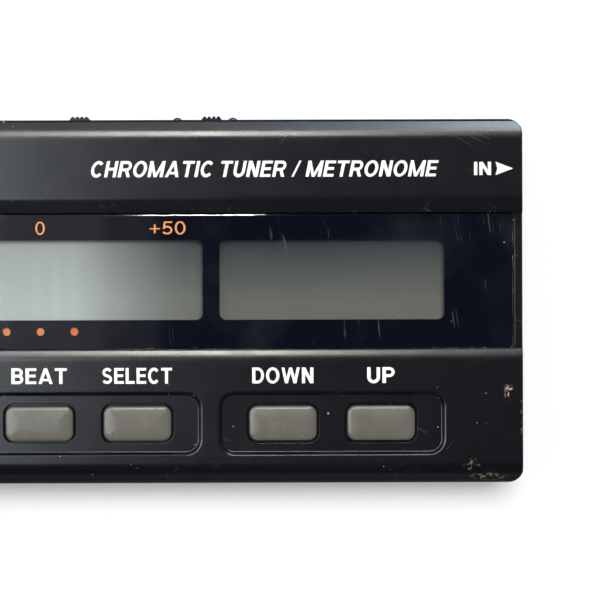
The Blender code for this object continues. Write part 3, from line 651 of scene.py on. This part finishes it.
def floor_white():
    mat, tree, shader, point = new_material("floor_white")
    cloud = noise(tree, point, 6.0, 3.0)
    white = blend(tree, cloud, (0.62, 0.62, 0.62), (0.64, 0.64, 0.64))
    wire(tree, shader, Base_Color=white, Roughness=spread(tree, cloud, 0.3, 0.7, 0.85, 0.95))
    shader.inputs["Emission Color"].default_value = (1.0, 1.0, 1.0, 1.0)
    shader.inputs["Emission Strength"].default_value = 0.23
    return mat


MATERIALS = {
    "case_plastic": case_plastic(),
    "key_plastic": key_plastic(),
    "lens_plastic": clear_lens(),
    "mask": mask_print(),
    "lcd_glass": lcd_glass(),
    "white_plastic": plain_plastic("white_moulded", (0.50, 0.50, 0.47), (0.62, 0.62, 0.58), 0.4, 0.55),
    "amber_plastic": plain_plastic("amber_moulded", (0.62, 0.13, 0.02), (0.80, 0.22, 0.03), 0.2, 0.3),
    "dark_plastic": plain_plastic("dark_moulded", (0.010, 0.010, 0.011), (0.018, 0.018, 0.019),
                                  0.4, 0.55),
    "board_green": board_green(),
    "rubber": plain_plastic("rubber_matt", (0.010, 0.010, 0.010), (0.022, 0.022, 0.022), 0.75, 0.9,
                            500.0),
    "steel": plated_metal("zinc_steel", (0.38, 0.38, 0.40), (0.58, 0.58, 0.60), 0.25, 0.42, (1, 0.1, 1)),
    "nickel": plated_metal("nickel_plate", (0.48, 0.46, 0.42), (0.66, 0.64, 0.60), 0.12, 0.28,
                           (1, 0.1, 1)),
    "brass": plated_metal("spring_brass", (0.48, 0.30, 0.12), (0.74, 0.54, 0.26), 0.2, 0.35, (1, 0.1, 1)),
    "cell_sleeve": cell_sleeve(),
    "white_ink": ink("white_ink", (0.66, 0.66, 0.63), (0.92, 0.92, 0.89)),
    "orange_ink": ink("orange_ink", (0.80, 0.22, 0.04), (1.00, 0.36, 0.08)),
}


def dress(obj, material, body="case"):
    """Gives a piece its material and the body it moves with."""
    obj.data.materials.clear()
    obj.data.materials.append(MATERIALS[material])
    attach(obj, body)


# ---- case skins

def jack_cutters():
    return [rod("jack_hole_" + name, (side * HALF_X, *centre_of("jack_in_collar")[1:]),
                JACK_HOLE_RADIUS, 5.0 * MM, "X", 64) for name, side in JACKS.items()]


def top_profile():
    rear = LENS_HIGH[1] - CASE_Y
    front = LENS_LOW[1] - CASE_Y - 0.2 * MM
    return rounded([
        (from_case(-HALF_Y), PARTING_TOP, 0),
        (from_case(HALF_Y), PARTING_TOP, 0),
        (from_case(HALF_Y), CASE_TOP - REAR_DROP, REAR_RADIUS),
        (from_case(HALF_Y - REAR_RUN), CASE_TOP, 5.0 * MM),
        (from_case(rear + REAR_SLOPE), CASE_TOP, 6.0 * MM),
        (from_case(rear), CASE_TOP - BEVEL_DEPTH - 0.2 * MM, 0.1 * MM),
        (from_case(rear), TROUGH_TOP, 0),
        (from_case(front), TROUGH_TOP, 0),
        (from_case(front), CASE_TOP - BEVEL_DEPTH, 0.1 * MM),
        (from_case(front - FRONT_SLOPE), CASE_TOP, 6.5 * MM),
        (from_case(-HALF_Y), CASE_TOP, FRONT_RADIUS),
    ], 14)


def side_rounded(name, low_z, high_z, low_radius, high_radius):
    """The case's plan with rounded corners and rounded rims, as a solid."""
    bm = bmesh.new()
    size = Vector((2 * HALF_X, 2 * HALF_Y, high_z - low_z))
    matrix = Matrix.Translation((0, CASE_Y, (high_z + low_z) / 2)) @ Matrix.Diagonal((*size, 1))
    bmesh.ops.create_cube(bm, size=1.0, matrix=matrix)
    bmesh.ops.bevel(bm, geom=upright_edges(bm, size.z), offset=PLAN_RADIUS, segments=12,
                    profile=0.5, affect="EDGES")
    for radius, end in ((low_radius, low_z), (high_radius, high_z)):
        if radius:
            bmesh.ops.bevel(bm, geom=rim_edges(bm, end), offset=radius, segments=5, profile=0.5,
                            affect="EDGES")
    return put_bmesh(name, bm)


def recess_cutter(name, keys):
    """A shallow pocket around a group of keys: a rounded rim, a slope and a fillet below it."""
    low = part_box("button_" + keys[0])[0]
    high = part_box("button_" + keys[-1])[1]
    side = RECESS_SIDE - FLANGE
    left, right = low[0] - side, high[0] + side
    front, rear = low[1] - RECESS_FRONT + FLANGE, high[1] + RECESS_REAR - FLANGE
    steps = [math.radians(RECESS_TILT * i / 6) for i in range(1, 7)]
    section = [(0.0, -1 * MM), (0.0, 0.0)]
    section += [(RECESS_RIM * math.sin(t), RECESS_RIM * (1 - math.cos(t))) for t in steps]
    fillet_depth = RECESS_FILLET * (1 - math.cos(steps[-1]))
    inset = section[-1][0] + (RECESS_DEPTH - fillet_depth - section[-1][1]) / math.tan(steps[-1])
    inset += RECESS_FILLET * math.sin(steps[-1])
    section += [(inset - RECESS_FILLET * math.sin(t), RECESS_DEPTH - RECESS_FILLET * (1 - math.cos(t)))
                for t in reversed(steps)]
    rings = [(rectangle(left + u, right - u, front + u, rear - u, RECESS_RADIUS - u), CASE_TOP - depth)
             for u, depth in section]
    return lofted(name, rings)


def key_hole(name):
    low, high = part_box("button_" + name)
    margin = FLANGE - KEY_GAP
    return box("key_hole_" + name, (low[0] + margin, low[1] + margin, KEY_ROOF - 1 * MM),
               (high[0] - margin, high[1] - margin, CASE_TOP + 2 * MM), KEY_RADIUS + KEY_GAP, 8)


def knob_slot(node, back, ahead):
    """The slot that a slide knob moves in, through the rear wall."""
    low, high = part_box(node)
    gap = 0.3 * MM
    return box(node + "_slot", (low[0] - back - gap, from_case(HALF_Y - WALL) - gap, low[2] - gap),
               (high[0] + ahead + gap, from_case(HALF_Y) + 3 * MM, high[2] + gap))


def make_top_skin():
    skin = plate("case_top", [top_profile()], -HALF_X, HALF_X, along="X")
    combine(skin, [side_rounded("plan", 2 * MM, CASE_TOP, 0, SIDE_RADIUS)], "INTERSECT")
    combine(skin, [
        box("hollow", (-INNER_X, from_case(-INNER_Y), 5 * MM),
            (INNER_X, from_case(INNER_Y), LEDGE_BASE), INNER_RADIUS),
        box("key_hollow", (-KEY_ROOM_X, from_case(KEY_ROOM_Y[0]), 5 * MM),
            (KEY_ROOM_X, from_case(KEY_ROOM_Y[1]), KEY_ROOF), 1 * MM),
    ])
    knob = centre_of("power_knob")
    guard_y = from_case(HALF_Y + GUARD_PROUD - GUARD_RADIUS)
    guards = [rod("guard", (knob[0] - POWER_THROW + side * GUARD_REACH, guard_y, knob[2]),
                  GUARD_RADIUS, GUARD_HEIGHT) for side in (-1, 1)]
    for guard in guards:
        soften(guard, 0.4 * MM, 5)
    combine(skin, guards, "UNION")
    cutters = [
        box("lens_pocket", (LENS_LOW[0] - LENS_GAP, LENS_LOW[1] - LENS_GAP, LEDGE_TOP),
            (LENS_HIGH[0] + LENS_GAP, LENS_HIGH[1] + LENS_GAP, 22 * MM), INNER_RADIUS),
        box("view_opening", (PANEL_LOW[0], PANEL_LOW[1], 14 * MM),
            (PANEL_HIGH[0], PANEL_HIGH[1], 17 * MM), 0.8 * MM),
        recess_cutter("recess_left", BUTTONS[:3]),
        recess_cutter("recess_right", BUTTONS[3:]),
        knob_slot("power_knob", 2 * POWER_THROW, 0.0),
        knob_slot("volume_knob", VOLUME_THROW, VOLUME_THROW),
    ]
    cutters += [key_hole(name) for name in BUTTONS]
    mic = centre_of("mic_capsule")
    cutters.append(rod("mic_hole", (mic[0], mic[1], 18.5 * MM), MIC_RADIUS, 4 * MM, segments=24))
    for name in GUIDES:
        x, y = centre_of("light_guide_" + name)[:2]
        cutters.append(rod("guide_hole", (x, y, 15.5 * MM), GUIDE_RADIUS, 3 * MM, segments=24))
    combine(skin, cutters + jack_cutters())
    clean(skin)
    soften(skin, SOFT_EDGE)
    dress(skin, "case_plastic")
    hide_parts("top_case")


def make_bottom_skin():
    skin = side_rounded("case_bottom", CASE_BASE, PARTING_LOW, LOWER_RADIUS, 0)
    combine(skin, [box("hollow", (-INNER_X, from_case(-INNER_Y), CASE_BASE + WALL),
                       (INNER_X, from_case(INNER_Y), 12 * MM), INNER_RADIUS)])
    lip = plate("parting_lip", [
        rectangle(-HALF_X + LIP_INSET, HALF_X - LIP_INSET, from_case(-HALF_Y + LIP_INSET),
                  from_case(HALF_Y - LIP_INSET), PLAN_RADIUS - LIP_INSET),
        rectangle(-INNER_X, INNER_X, from_case(-INNER_Y), from_case(INNER_Y), INNER_RADIUS),
    ], PARTING_LOW - 0.4 * MM, PARTING_TOP - 0.02 * MM)
    combine(skin, [lip], "UNION")
    posts = []
    for name in CORNERS:
        x, y = centre_of("case_screw_" + name)[:2]
        posts.append(rod("boss_" + name, (x, y, 5.2 * MM), BOSS_RADIUS, 7.2 * MM))
    combine(skin, posts, "UNION")
    door_low, door_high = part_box("battery_door")
    beyond = from_case(-HALF_Y) - 2 * MM
    inner = door_high[1] + DOOR_GAP
    roof = door_high[2] + 0.3 * MM
    cutters = [
        box("door_opening", (-DOOR_HALF - DOOR_GAP, beyond, -1 * MM),
            (DOOR_HALF + DOOR_GAP, inner, roof)),
        box("door_groove", (door_low[0] - DOOR_GAP, beyond, door_low[2] + 0.65 * MM),
            (door_high[0] + DOOR_GAP, inner, roof)),
    ]
    for name in CORNERS:
        x, y = centre_of("case_screw_" + name)[:2]
        cutters.append(rod("counterbore", (x, y, 1.8 * MM), COUNTERBORE_RADIUS, 3.6 * MM))
        cutters.append(rod("screw_hole", (x, y, 6 * MM), SCREW_RADIUS, 8 * MM, segments=32))
        foot_low, foot_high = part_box("rubber_foot_" + name)
        radius = (foot_high[0] - foot_low[0]) / 2 + FOOT_GAP
        x, y = centre_of("rubber_foot_" + name)[:2]
        cutters.append(rod("foot_pocket", (x, y, CASE_BASE), radius, 1.8 * MM, segments=64))
    x, y = centre_of("piezo_sounder")[:2]
    for step in range(SOUND_SLOTS):
        row = y + (step - SOUND_SLOTS // 2) * SOUND_PITCH
        cutters.append(box("sounder_slot", (x - SOUND_HALF_X, row - SOUND_HALF_Y, 0.0),
                           (x + SOUND_HALF_X, row + SOUND_HALF_Y, 3 * MM), 0.49 * MM))
    combine(skin, cutters + jack_cutters())
    clean(skin)
    soften(skin, SOFT_EDGE)
    dress(skin, "case_plastic")
    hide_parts("bottom_case")


def make_door_skin():
    """The battery door with a thumb grip and a sunken arrow on its underside."""
    low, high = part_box("battery_door")
    door = box("door_plate", (-DOOR_HALF, low[1], low[2]), (DOOR_HALF, high[1], high[2]))
    lips = box("door_lips", (low[0], low[1] + 2.6 * MM, low[2] + 0.9 * MM),
               (high[0], high[1] - 0.1 * MM, high[2] - 0.05 * MM))
    combine(door, [lips], "UNION")
    cutters = [box("grip", (-8 * MM, low[1] + 4 * MM + i * GRIP_PITCH, 0.0),
                   (8 * MM, low[1] + 4.6 * MM + i * GRIP_PITCH, low[2] + 0.35 * MM))
               for i in range(GRIP_GROOVES)]
    arrow = [(-2.6 * MM, low[1] + 15.0 * MM), (0.0, low[1] + 11.5 * MM), (2.6 * MM, low[1] + 15.0 * MM)]
    cutters.append(plate("arrow", [arrow], 0.0, low[2] + 0.2 * MM))
    combine(door, cutters)
    clean(door)
    soften(door, 0.12 * MM)
    dress(door, "case_plastic", "battery_door_slider")
    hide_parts("battery_door")


# ---- display

def make_lens():
    outline = rectangle(LENS_LOW[0], LENS_HIGH[0], LENS_LOW[1], LENS_HIGH[1], 1.0 * MM)
    clear = plate("lens_clear", [outline], MASK_TOP + 0.05 * MM, LENS_HIGH[2])
    fall = LENS_CHAMFER * math.tan(math.radians(LENS_CHAMFER_TILT))
    rear, top = LENS_HIGH[1], LENS_HIGH[2]
    wedge = [(rear - LENS_CHAMFER, top), (rear + LENS_CHAMFER, top - 2 * fall),
             (rear + LENS_CHAMFER, top + fall), (rear - LENS_CHAMFER, top + fall)]
    combine(clear, [plate("wedge", [wedge], LENS_LOW[0] - 1 * MM, LENS_HIGH[0] + 1 * MM, along="X")])
    soften(clear, 0.06 * MM, 3)
    dress(clear, "lens_plastic")
    holes = [rectangle(left, right, from_case(WINDOW_Y[0]), from_case(WINDOW_Y[1]), WINDOW_RADIUS)
             for left, right in WINDOWS.values()]
    for name in GUIDES:
        x, y = centre_of("light_guide_" + name)[:2]
        holes.append(circle(x, y, GUIDE_PRINT_RADIUS))
    mask = plate("lens_mask", [outline] + holes, MASK_TOP - MASK_THICKNESS, MASK_TOP)
    dress(mask, "mask")
    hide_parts("display_lens")


def key_section(height):
    """Inset and depth below the top along a cap's side, rim and slightly domed face."""
    turns = [math.radians(KEY_RIM_TURN * i / 8) for i in range(9)]
    section = [(0.0, height)]
    section += [(KEY_RIM * (1 - math.cos(t)), KEY_DOME + KEY_RIM_FALL * (1 - math.sin(t)))
                for t in turns]
    inset, depth = section[-1]
    parts = [i / 6 for i in range(1, 7)]
    return section + [(inset + (KEY_FLAT - inset) * f, depth * (1 - f) ** 2) for f in parts]


def make_keys():
    for name in BUTTONS:
        low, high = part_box("button_" + name)
        rings = [(rectangle(low[0] + FLANGE + u, high[0] - FLANGE - u, low[1] + FLANGE + u,
                            high[1] - FLANGE - u, max(KEY_RADIUS - u, 0.2 * MM)), high[2] - depth)
                 for u, depth in key_section(high[2] - low[2] - 0.2 * MM)]
        cap = lofted("cap_" + name, rings)
        flange = box("flange", low, (high[0], high[1], low[2] + 0.7 * MM))
        combine(cap, [flange], "UNION")
        clean(cap)
        soften(cap, 0.05 * MM, 2)
        dress(cap, "key_plastic", "key_" + name)
        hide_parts("button_" + name)


def make_knobs():
    """Slide knobs with rounded ridges across the finger end."""
    for node, body in KNOBS.items():
        low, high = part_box(node)
        middle = (low[0] + high[0]) / 2
        inner = from_case(KNOB_ROOT)
        valley = high[1] - RIDGE_DEPTH
        corners = [(low[0], inner, 0), (high[0], inner, 0), (high[0], valley, 0)]
        for i in range(RIDGES):
            x = middle + ((RIDGES - 1) / 2 - i) * RIDGE_PITCH
            corners += [(x + RIDGE_FOOT, valley, 0.05 * MM), (x + RIDGE_CREST, high[1], 0.1 * MM),
                        (x - RIDGE_CREST, high[1], 0.1 * MM), (x - RIDGE_FOOT, valley, 0.05 * MM)]
        corners.append((low[0], valley, 0))
        knob = plate(node + "_ridged", [rounded(corners, 4)], low[2], high[2])
        stem = box("stem", (middle - 1 * MM, low[1], 11.05 * MM),
                   (middle + 1 * MM, inner + 0.6 * MM, 11.75 * MM))
        combine(knob, [stem], "UNION")
        soften(knob, 0.06 * MM, 2, 50.0)
        dress(knob, "case_plastic", body)
        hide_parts(node)


# ---- print

def leg(foot, head, low=0.0, high=1.0, half=0.105):
    """A stroke with level ends from x = foot up to x = head; heights are parts of the cap height."""
    return [(foot - half, low), (foot + half, low), (head + half, high), (head - half, high)]


def bar(left, right, y, half=0.085):
    return [(left, y - half), (right, y - half), (right, y + half), (left, y + half)]


def bend(x, y, half_x, half_y, start, end, steps=12):
    """Points along part of an ellipse, angles in degrees."""
    angles = [math.radians(start + (end - start) * i / steps) for i in range(steps + 1)]
    return [(x + half_x * math.cos(a), y + half_y * math.sin(a)) for a in angles]


def stroke(points, half=0.09):
    """The outline of a line of even width through points."""
    points = [Vector(p) for p in points]
    left, right = [], []
    for i, point in enumerate(points):
        along = (points[min(i + 1, len(points) - 1)] - points[max(i - 1, 0)]).normalized()
        across = Vector((-along.y, along.x)) * half
        left.append(tuple(point + across))
        right.append(tuple(point - across))
    return left + right[::-1]


def ring(width, side=0.2, end=0.17):
    """An oval letter: its outer and inner outlines."""
    return [bend(width / 2, 0.5, width / 2, 0.515, 0, 350, 35),
            bend(width / 2, 0.5, width / 2 - side, 0.515 - end, 0, 350, 35)]


def bowl(turn, top, low, half_x, steps=12):
    """A stroke out from the stem, round at x = turn and back below."""
    return stroke([(0.1, top), (turn - 0.01, top)]
                  + bend(turn, (top + low) / 2, half_x, (top - low) / 2, 90, -90, steps)
                  + [(turn - 0.01, low), (0.1, low)])


def glyph(letter):
    """A letter's width and its strokes, each a list of outlines, for a cap height of 1."""
    edge = 0.105
    widths = {"A": 0.90, "B": 0.76, "C": 0.80, "D": 0.78, "E": 0.68, "H": 0.76, "I": 0.21,
              "L": 0.64, "M": 1.00, "N": 0.76, "O": 0.88, "P": 0.73, "R": 0.80, "S": 0.74,
              "T": 0.76, "U": 0.76, "W": 1.22, "/": 0.46, "+": 0.66, "-": 0.40, "5": 0.68,
              "0": 0.68, " ": 0.20}
    w = widths[letter]
    stem = [leg(edge, edge)]
    far_stem = [leg(w - edge, w - edge)]
    upper_bowl = [bowl(w - 0.32, 0.915, 0.465, 0.22)]
    strokes = {
        "A": [[leg(0.1, w / 2, half=0.1)], [leg(w - 0.1, w / 2, half=0.1)],
              [bar(w * 0.25, w * 0.75, 0.25, 0.075)]],
        "B": [stem, [bowl(w - 0.34, 0.915, 0.505, 0.21)], [bowl(w - 0.32, 0.505, 0.085, 0.22)]],
        "C": [[stroke(bend(w / 2 + 0.02, 0.5, w / 2 - 0.08, 0.42, 42, 318, 20), 0.095)]],
        "D": [stem, [bowl(w - 0.41, 0.915, 0.085, 0.31, 16)]],
        "E": [stem, [bar(0.05, w, 0.085)], [bar(0.05, w - 0.05, 0.51)], [bar(0.05, w, 0.915)]],
        "H": [stem, far_stem, [bar(0.1, w - 0.1, 0.51)]],
        "I": [stem],
        "L": [stem, [bar(0.05, w, 0.085)]],
        "M": [stem, far_stem, [leg(w / 2, edge, half=0.09)],
              [leg(w / 2, w - edge, half=0.09)]],
        "N": [stem, far_stem, [leg(w - edge - 0.01, edge + 0.01, half=0.115)]],
        "O": [ring(w)],
        "P": [stem, upper_bowl],
        "R": [stem, upper_bowl, [leg(w - 0.11, w - 0.34, 0.0, 0.5)]],
        "S": [[stroke(bend(w / 2 + 0.01, 0.715, w / 2 - 0.12, 0.205, 25, 255)
                      + bend(w / 2 - 0.01, 0.285, w / 2 - 0.10, 0.205, 75, -155), 0.088)]],
        "T": [[bar(0.0, w, 0.915)], [leg(w / 2, w / 2)]],
        "U": [[stroke([(edge, 1.0), (edge, 0.5)] + bend(w / 2, 0.38, w / 2 - edge, 0.30, 180, 360, 16)
                      + [(w - edge, 0.5), (w - edge, 1.0)], 0.1)]],
        "W": [[leg(w * 0.27, edge, half=0.095)], [leg(w * 0.27, w / 2, half=0.095)],
              [leg(w * 0.73, w / 2, half=0.095)], [leg(w * 0.73, w - edge, half=0.095)]],
        "/": [[leg(0.07, w - 0.07, half=0.07)]],
        "+": [[bar(0.0, w, 0.44, 0.045)], [leg(w / 2, w / 2, 0.10, 0.78, 0.05)]],
        "-": [[bar(0.0, w, 0.40, 0.045)]],
        "5": [[bar(0.12, w - 0.04, 0.945, 0.055)], [leg(0.12, 0.18, 0.42, 1.0, 0.055)],
              [stroke(bend(0.32, 0.33, 0.275, 0.27, 145, -150, 18), 0.06)]],
        "0": [ring(w, 0.125, 0.11)],
        " ": [],
    }
    return w, strokes[letter]


def letter_solid(letter):
    """The mesh of one letter as a thin welded solid; None for a space."""
    strokes = glyph(letter)[1]
    if not strokes:
        return None
    solids = [plate("letter_stroke", outlines, 0.0, LETTER_DEPTH) for outlines in strokes]
    if len(solids) > 1:
        combine(solids[0], solids[1:], "UNION")
    clean(solids[0], 0.001)
    mesh = solids[0].data
    bpy.data.objects.remove(solids[0], do_unlink=True)
    return mesh


LETTERS = {}


def print_text(name, text, height, left, right, y, z, material, slant=0.0):
    """Thin raised ink lettering of a given cap height between two stations along X."""
    bm = bmesh.new()
    pen = 0.0
    for letter in text:
        if letter not in LETTERS:
            LETTERS[letter] = letter_solid(letter)
        if LETTERS[letter]:
            first = len(bm.verts)
            bm.from_mesh(LETTERS[letter])
            bm.verts.ensure_lookup_table()
            for vert in bm.verts[first:]:
                vert.co.x += pen + slant * vert.co.y
        pen += glyph(letter)[0] + LETTER_GAP
    low = min(v.co.x for v in bm.verts)
    high = max(v.co.x for v in bm.verts)
    scale = ((right - left) / (high - low), height, (INK_SUNK + INK_PROUD) / LETTER_DEPTH)
    matrix = Matrix.Translation((left, y - height / 2, z - INK_SUNK))
    matrix = matrix @ Matrix.Diagonal((*scale, 1.0)) @ Matrix.Translation((-low, 0.0, 0.0))
    bmesh.ops.transform(bm, matrix=matrix, verts=bm.verts)
    bmesh.ops.recalc_face_normals(bm, faces=bm.faces)
    dress(put_bmesh(name, bm), material)


def make_print():
    print_text("print_title", TITLE, TITLE_HEIGHT, *TITLE_X, from_case(TITLE_Y), CASE_TOP,
               "white_ink", TITLE_SLANT)
    for name, (text, width) in LABELS.items():
        x = centre_of("button_" + name)[0]
        print_text("print_" + name, text, LABEL_HEIGHT, x - width / 2, x + width / 2,
                   from_case(LABEL_Y), CASE_TOP, "white_ink")
    mark_y = from_case(PLUG_MARK_Y)
    for name, (text, left, right) in PLUG_MARKS.items():
        print_text("print_" + name, text, PLUG_MARK_HEIGHT, left, right, mark_y, CASE_TOP,
                   "white_ink")
    for name, side in JACKS.items():
        tip, back, notch = side * 56.0 * MM, side * 53.2 * MM, side * 53.5 * MM
        outline = [(back, mark_y - 1.05 * MM), (notch, mark_y), (back, mark_y + 1.05 * MM),
                   (tip, mark_y)]
        arrow = plate("print_arrow_" + name, [outline], CASE_TOP - INK_SUNK, CASE_TOP + INK_PROUD)
        dress(arrow, "white_ink")
    for name, (text, centre, half) in SCALE.items():
        print_text("print_scale_" + name, text, SCALE_HEIGHT, (centre - half) * MM,
                   (centre + half) * MM, from_case(SCALE_Y), MASK_TOP + INK_SUNK, "orange_ink")


# ---- small hardware

def make_feet():
    for name in CORNERS:
        low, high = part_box("rubber_foot_" + name)
        x, y = centre_of("rubber_foot_" + name)[:2]
        r = (high[0] - low[0]) / 2
        profile = [(0.0, high[2]), (r, high[2]), (r, 0.45 * MM), (r - 0.06 * MM, 0.22 * MM),
                   (r - 0.2 * MM, 0.07 * MM), (r - 0.45 * MM, 0.0), (r - 1.2 * MM, 0.0),
                   (r - 1.35 * MM, 0.12 * MM), (0.0, 0.12 * MM)]
        foot = turned("foot_" + name, profile, (x, y, 0.0), steps=64)
        foot.data.shade_smooth()
        foot.data.set_sharp_from_angle(angle=math.radians(50))
        dress(foot, "rubber")
        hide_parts("rubber_foot_" + name)


def make_collars():
    for name in JACKS:
        node = "jack_%s_collar" % name
        low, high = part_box(node)
        half = (high[0] - low[0]) / 2
        radius = (high[2] - low[2]) / 2
        bore = JACK_BORE
        chamfer = 0.25 * MM
        right = [(bore + chamfer, half), (radius - chamfer, half), (radius, half - chamfer)]
        left = [(radius, chamfer - half), (radius - chamfer, -half), (bore + chamfer, -half)]
        profile = right + left + [(bore, chamfer - half), (bore, half - chamfer), right[0]]
        collar = turned(node + "_ring", profile, centre_of(node), "X", 72)
        collar.data.shade_smooth()
        collar.data.set_sharp_from_angle(angle=math.radians(30))
        dress(collar, "nickel")
        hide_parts(node)


def dress_nodes():
    """Every solid of the frame gets the material of its slot."""
    slots = {row["node"]: row["material_slot"] for row in frame["record"]["subparts"]}
    for name, obj in frame["nodes"].items():
        if name not in slots:
            continue
        if not obj.material_slots:
            obj.data.materials.append(None)
        for slot in obj.material_slots:
            slot.material = MATERIALS[slots[name]]


# ---- studio

# Name, place, aim, size, brightness of its face, colour, shows in gloss, lights matt surfaces
LAMPS = (
    ("key_strip", (-0.034, 0.49, 0.92), ORIGIN, (0.065, 0.28), 58.0, (1.0, 0.95, 0.88), True, False),
    ("rear_wall", (-0.20, 1.00, 0.66), ORIGIN, (1.80, 0.50), 1.1, (0.96, 0.98, 1.0), True, False),
    ("window", (0.26, 0.83, 0.56), ORIGIN, (0.30, 0.25), 19.0, (0.62, 0.84, 1.0), True, False),
    ("key_right", (0.17, 0.66, 0.73), ORIGIN, (0.16, 0.26), 12.0, (1.0, 0.97, 0.92), True, False),
    ("left_card", (-0.396, 0.18, 0.50), (-0.396, 0.18, 0), (0.70, 0.54), 0.20, (0.92, 1, 1), True, True),
    ("left_near", (-0.178, 0.18, 0.51), (-0.178, 0.18, 0), (0.30, 0.54), 0.17, (1, 1, 0.98), True, True),
    ("left_far", (-0.44, 0.18, 0.49), (-0.44, 0.18, 0), (0.70, 0.54), 4.8, (0.88, 0.95, 1), True, False),
    ("left_strip", (-0.75, 0.10, 0.40), ORIGIN, (0.30, 0.50), 3.0, (1.0, 1.0, 1.0), True, True),
    ("overhead", (0.15, 0.19, 1.20), ORIGIN, (0.50, 0.37), 31.0, (1.0, 0.99, 0.97), False, True),
)


def area_light(name, spot, aim, size, glow, colour, mirrored, fills):
    data = bpy.data.lights.new(name, "AREA")
    data.shape = "RECTANGLE"
    data.size, data.size_y = size
    data.energy = glow * math.pi * size[0] * size[1]
    data.color = colour
    lamp = put(name, data)
    lamp.location = spot
    direction = Vector(aim) - Vector(spot)
    lamp.rotation_euler = direction.to_track_quat("-Z", "Y").to_euler()
    lamp.visible_glossy = mirrored
    lamp.visible_diffuse = fills


def make_world():
    """A dim room: nearly dark overhead, a soft glow around the horizon."""
    world = bpy.data.worlds.new("studio")
    bpy.context.scene.world = world
    world.use_nodes = True
    tree = world.node_tree
    background = tree.nodes["Background"]
    direction = add(tree, "ShaderNodeTexCoord").outputs["Generated"]
    axes = add(tree, "ShaderNodeSeparateXYZ", {"Vector": direction}).outputs
    glow = spread(tree, axes["Z"], 0.50, 0.05)
    sky = blend(tree, glow, (0.055, 0.062, 0.085), (0.42, 0.43, 0.46))
    below = spread(tree, axes["Z"], 0.0, -0.15)
    room = blend(tree, below, sky, (0.16, 0.16, 0.16))
    near = spread(tree, axes["Y"], 0.0, -0.5)
    room = blend(tree, calculate(tree, "MULTIPLY", near, 0.4), room, (0.02, 0.02, 0.025))
    tree.links.new(room, background.inputs["Color"])


def make_studio():
    floor = plate("floor", [rectangle(-3, 3, -3, 3, 0.5)], -0.02, -0.00001)
    floor.data.materials.append(floor_white())
    floor.visible_glossy = False
    make_world()
    for lamp in LAMPS:
        area_light(*lamp)


def make_camera():
    data = bpy.data.cameras.new("camera")
    data.sensor_width = SENSOR_WIDTH
    data.lens = SENSOR_WIDTH * CAMERA_DISTANCE / FRAME_WIDTH
    camera = put("camera", data)
    x, y = CAMERA_PLACE
    camera.location = (x, from_case(y), CASE_TOP + CAMERA_DISTANCE)
    camera.rotation_euler = (0.0, 0.0, math.radians(CAMERA_ROLL))
    bpy.context.scene.camera = camera


make_top_skin()
make_bottom_skin()
make_door_skin()
make_lens()
make_keys()
make_knobs()
make_print()
make_feet()
make_collars()
dress_nodes()
make_studio()
make_camera()
bpy.context.scene.view_settings.view_transform = "Standard"
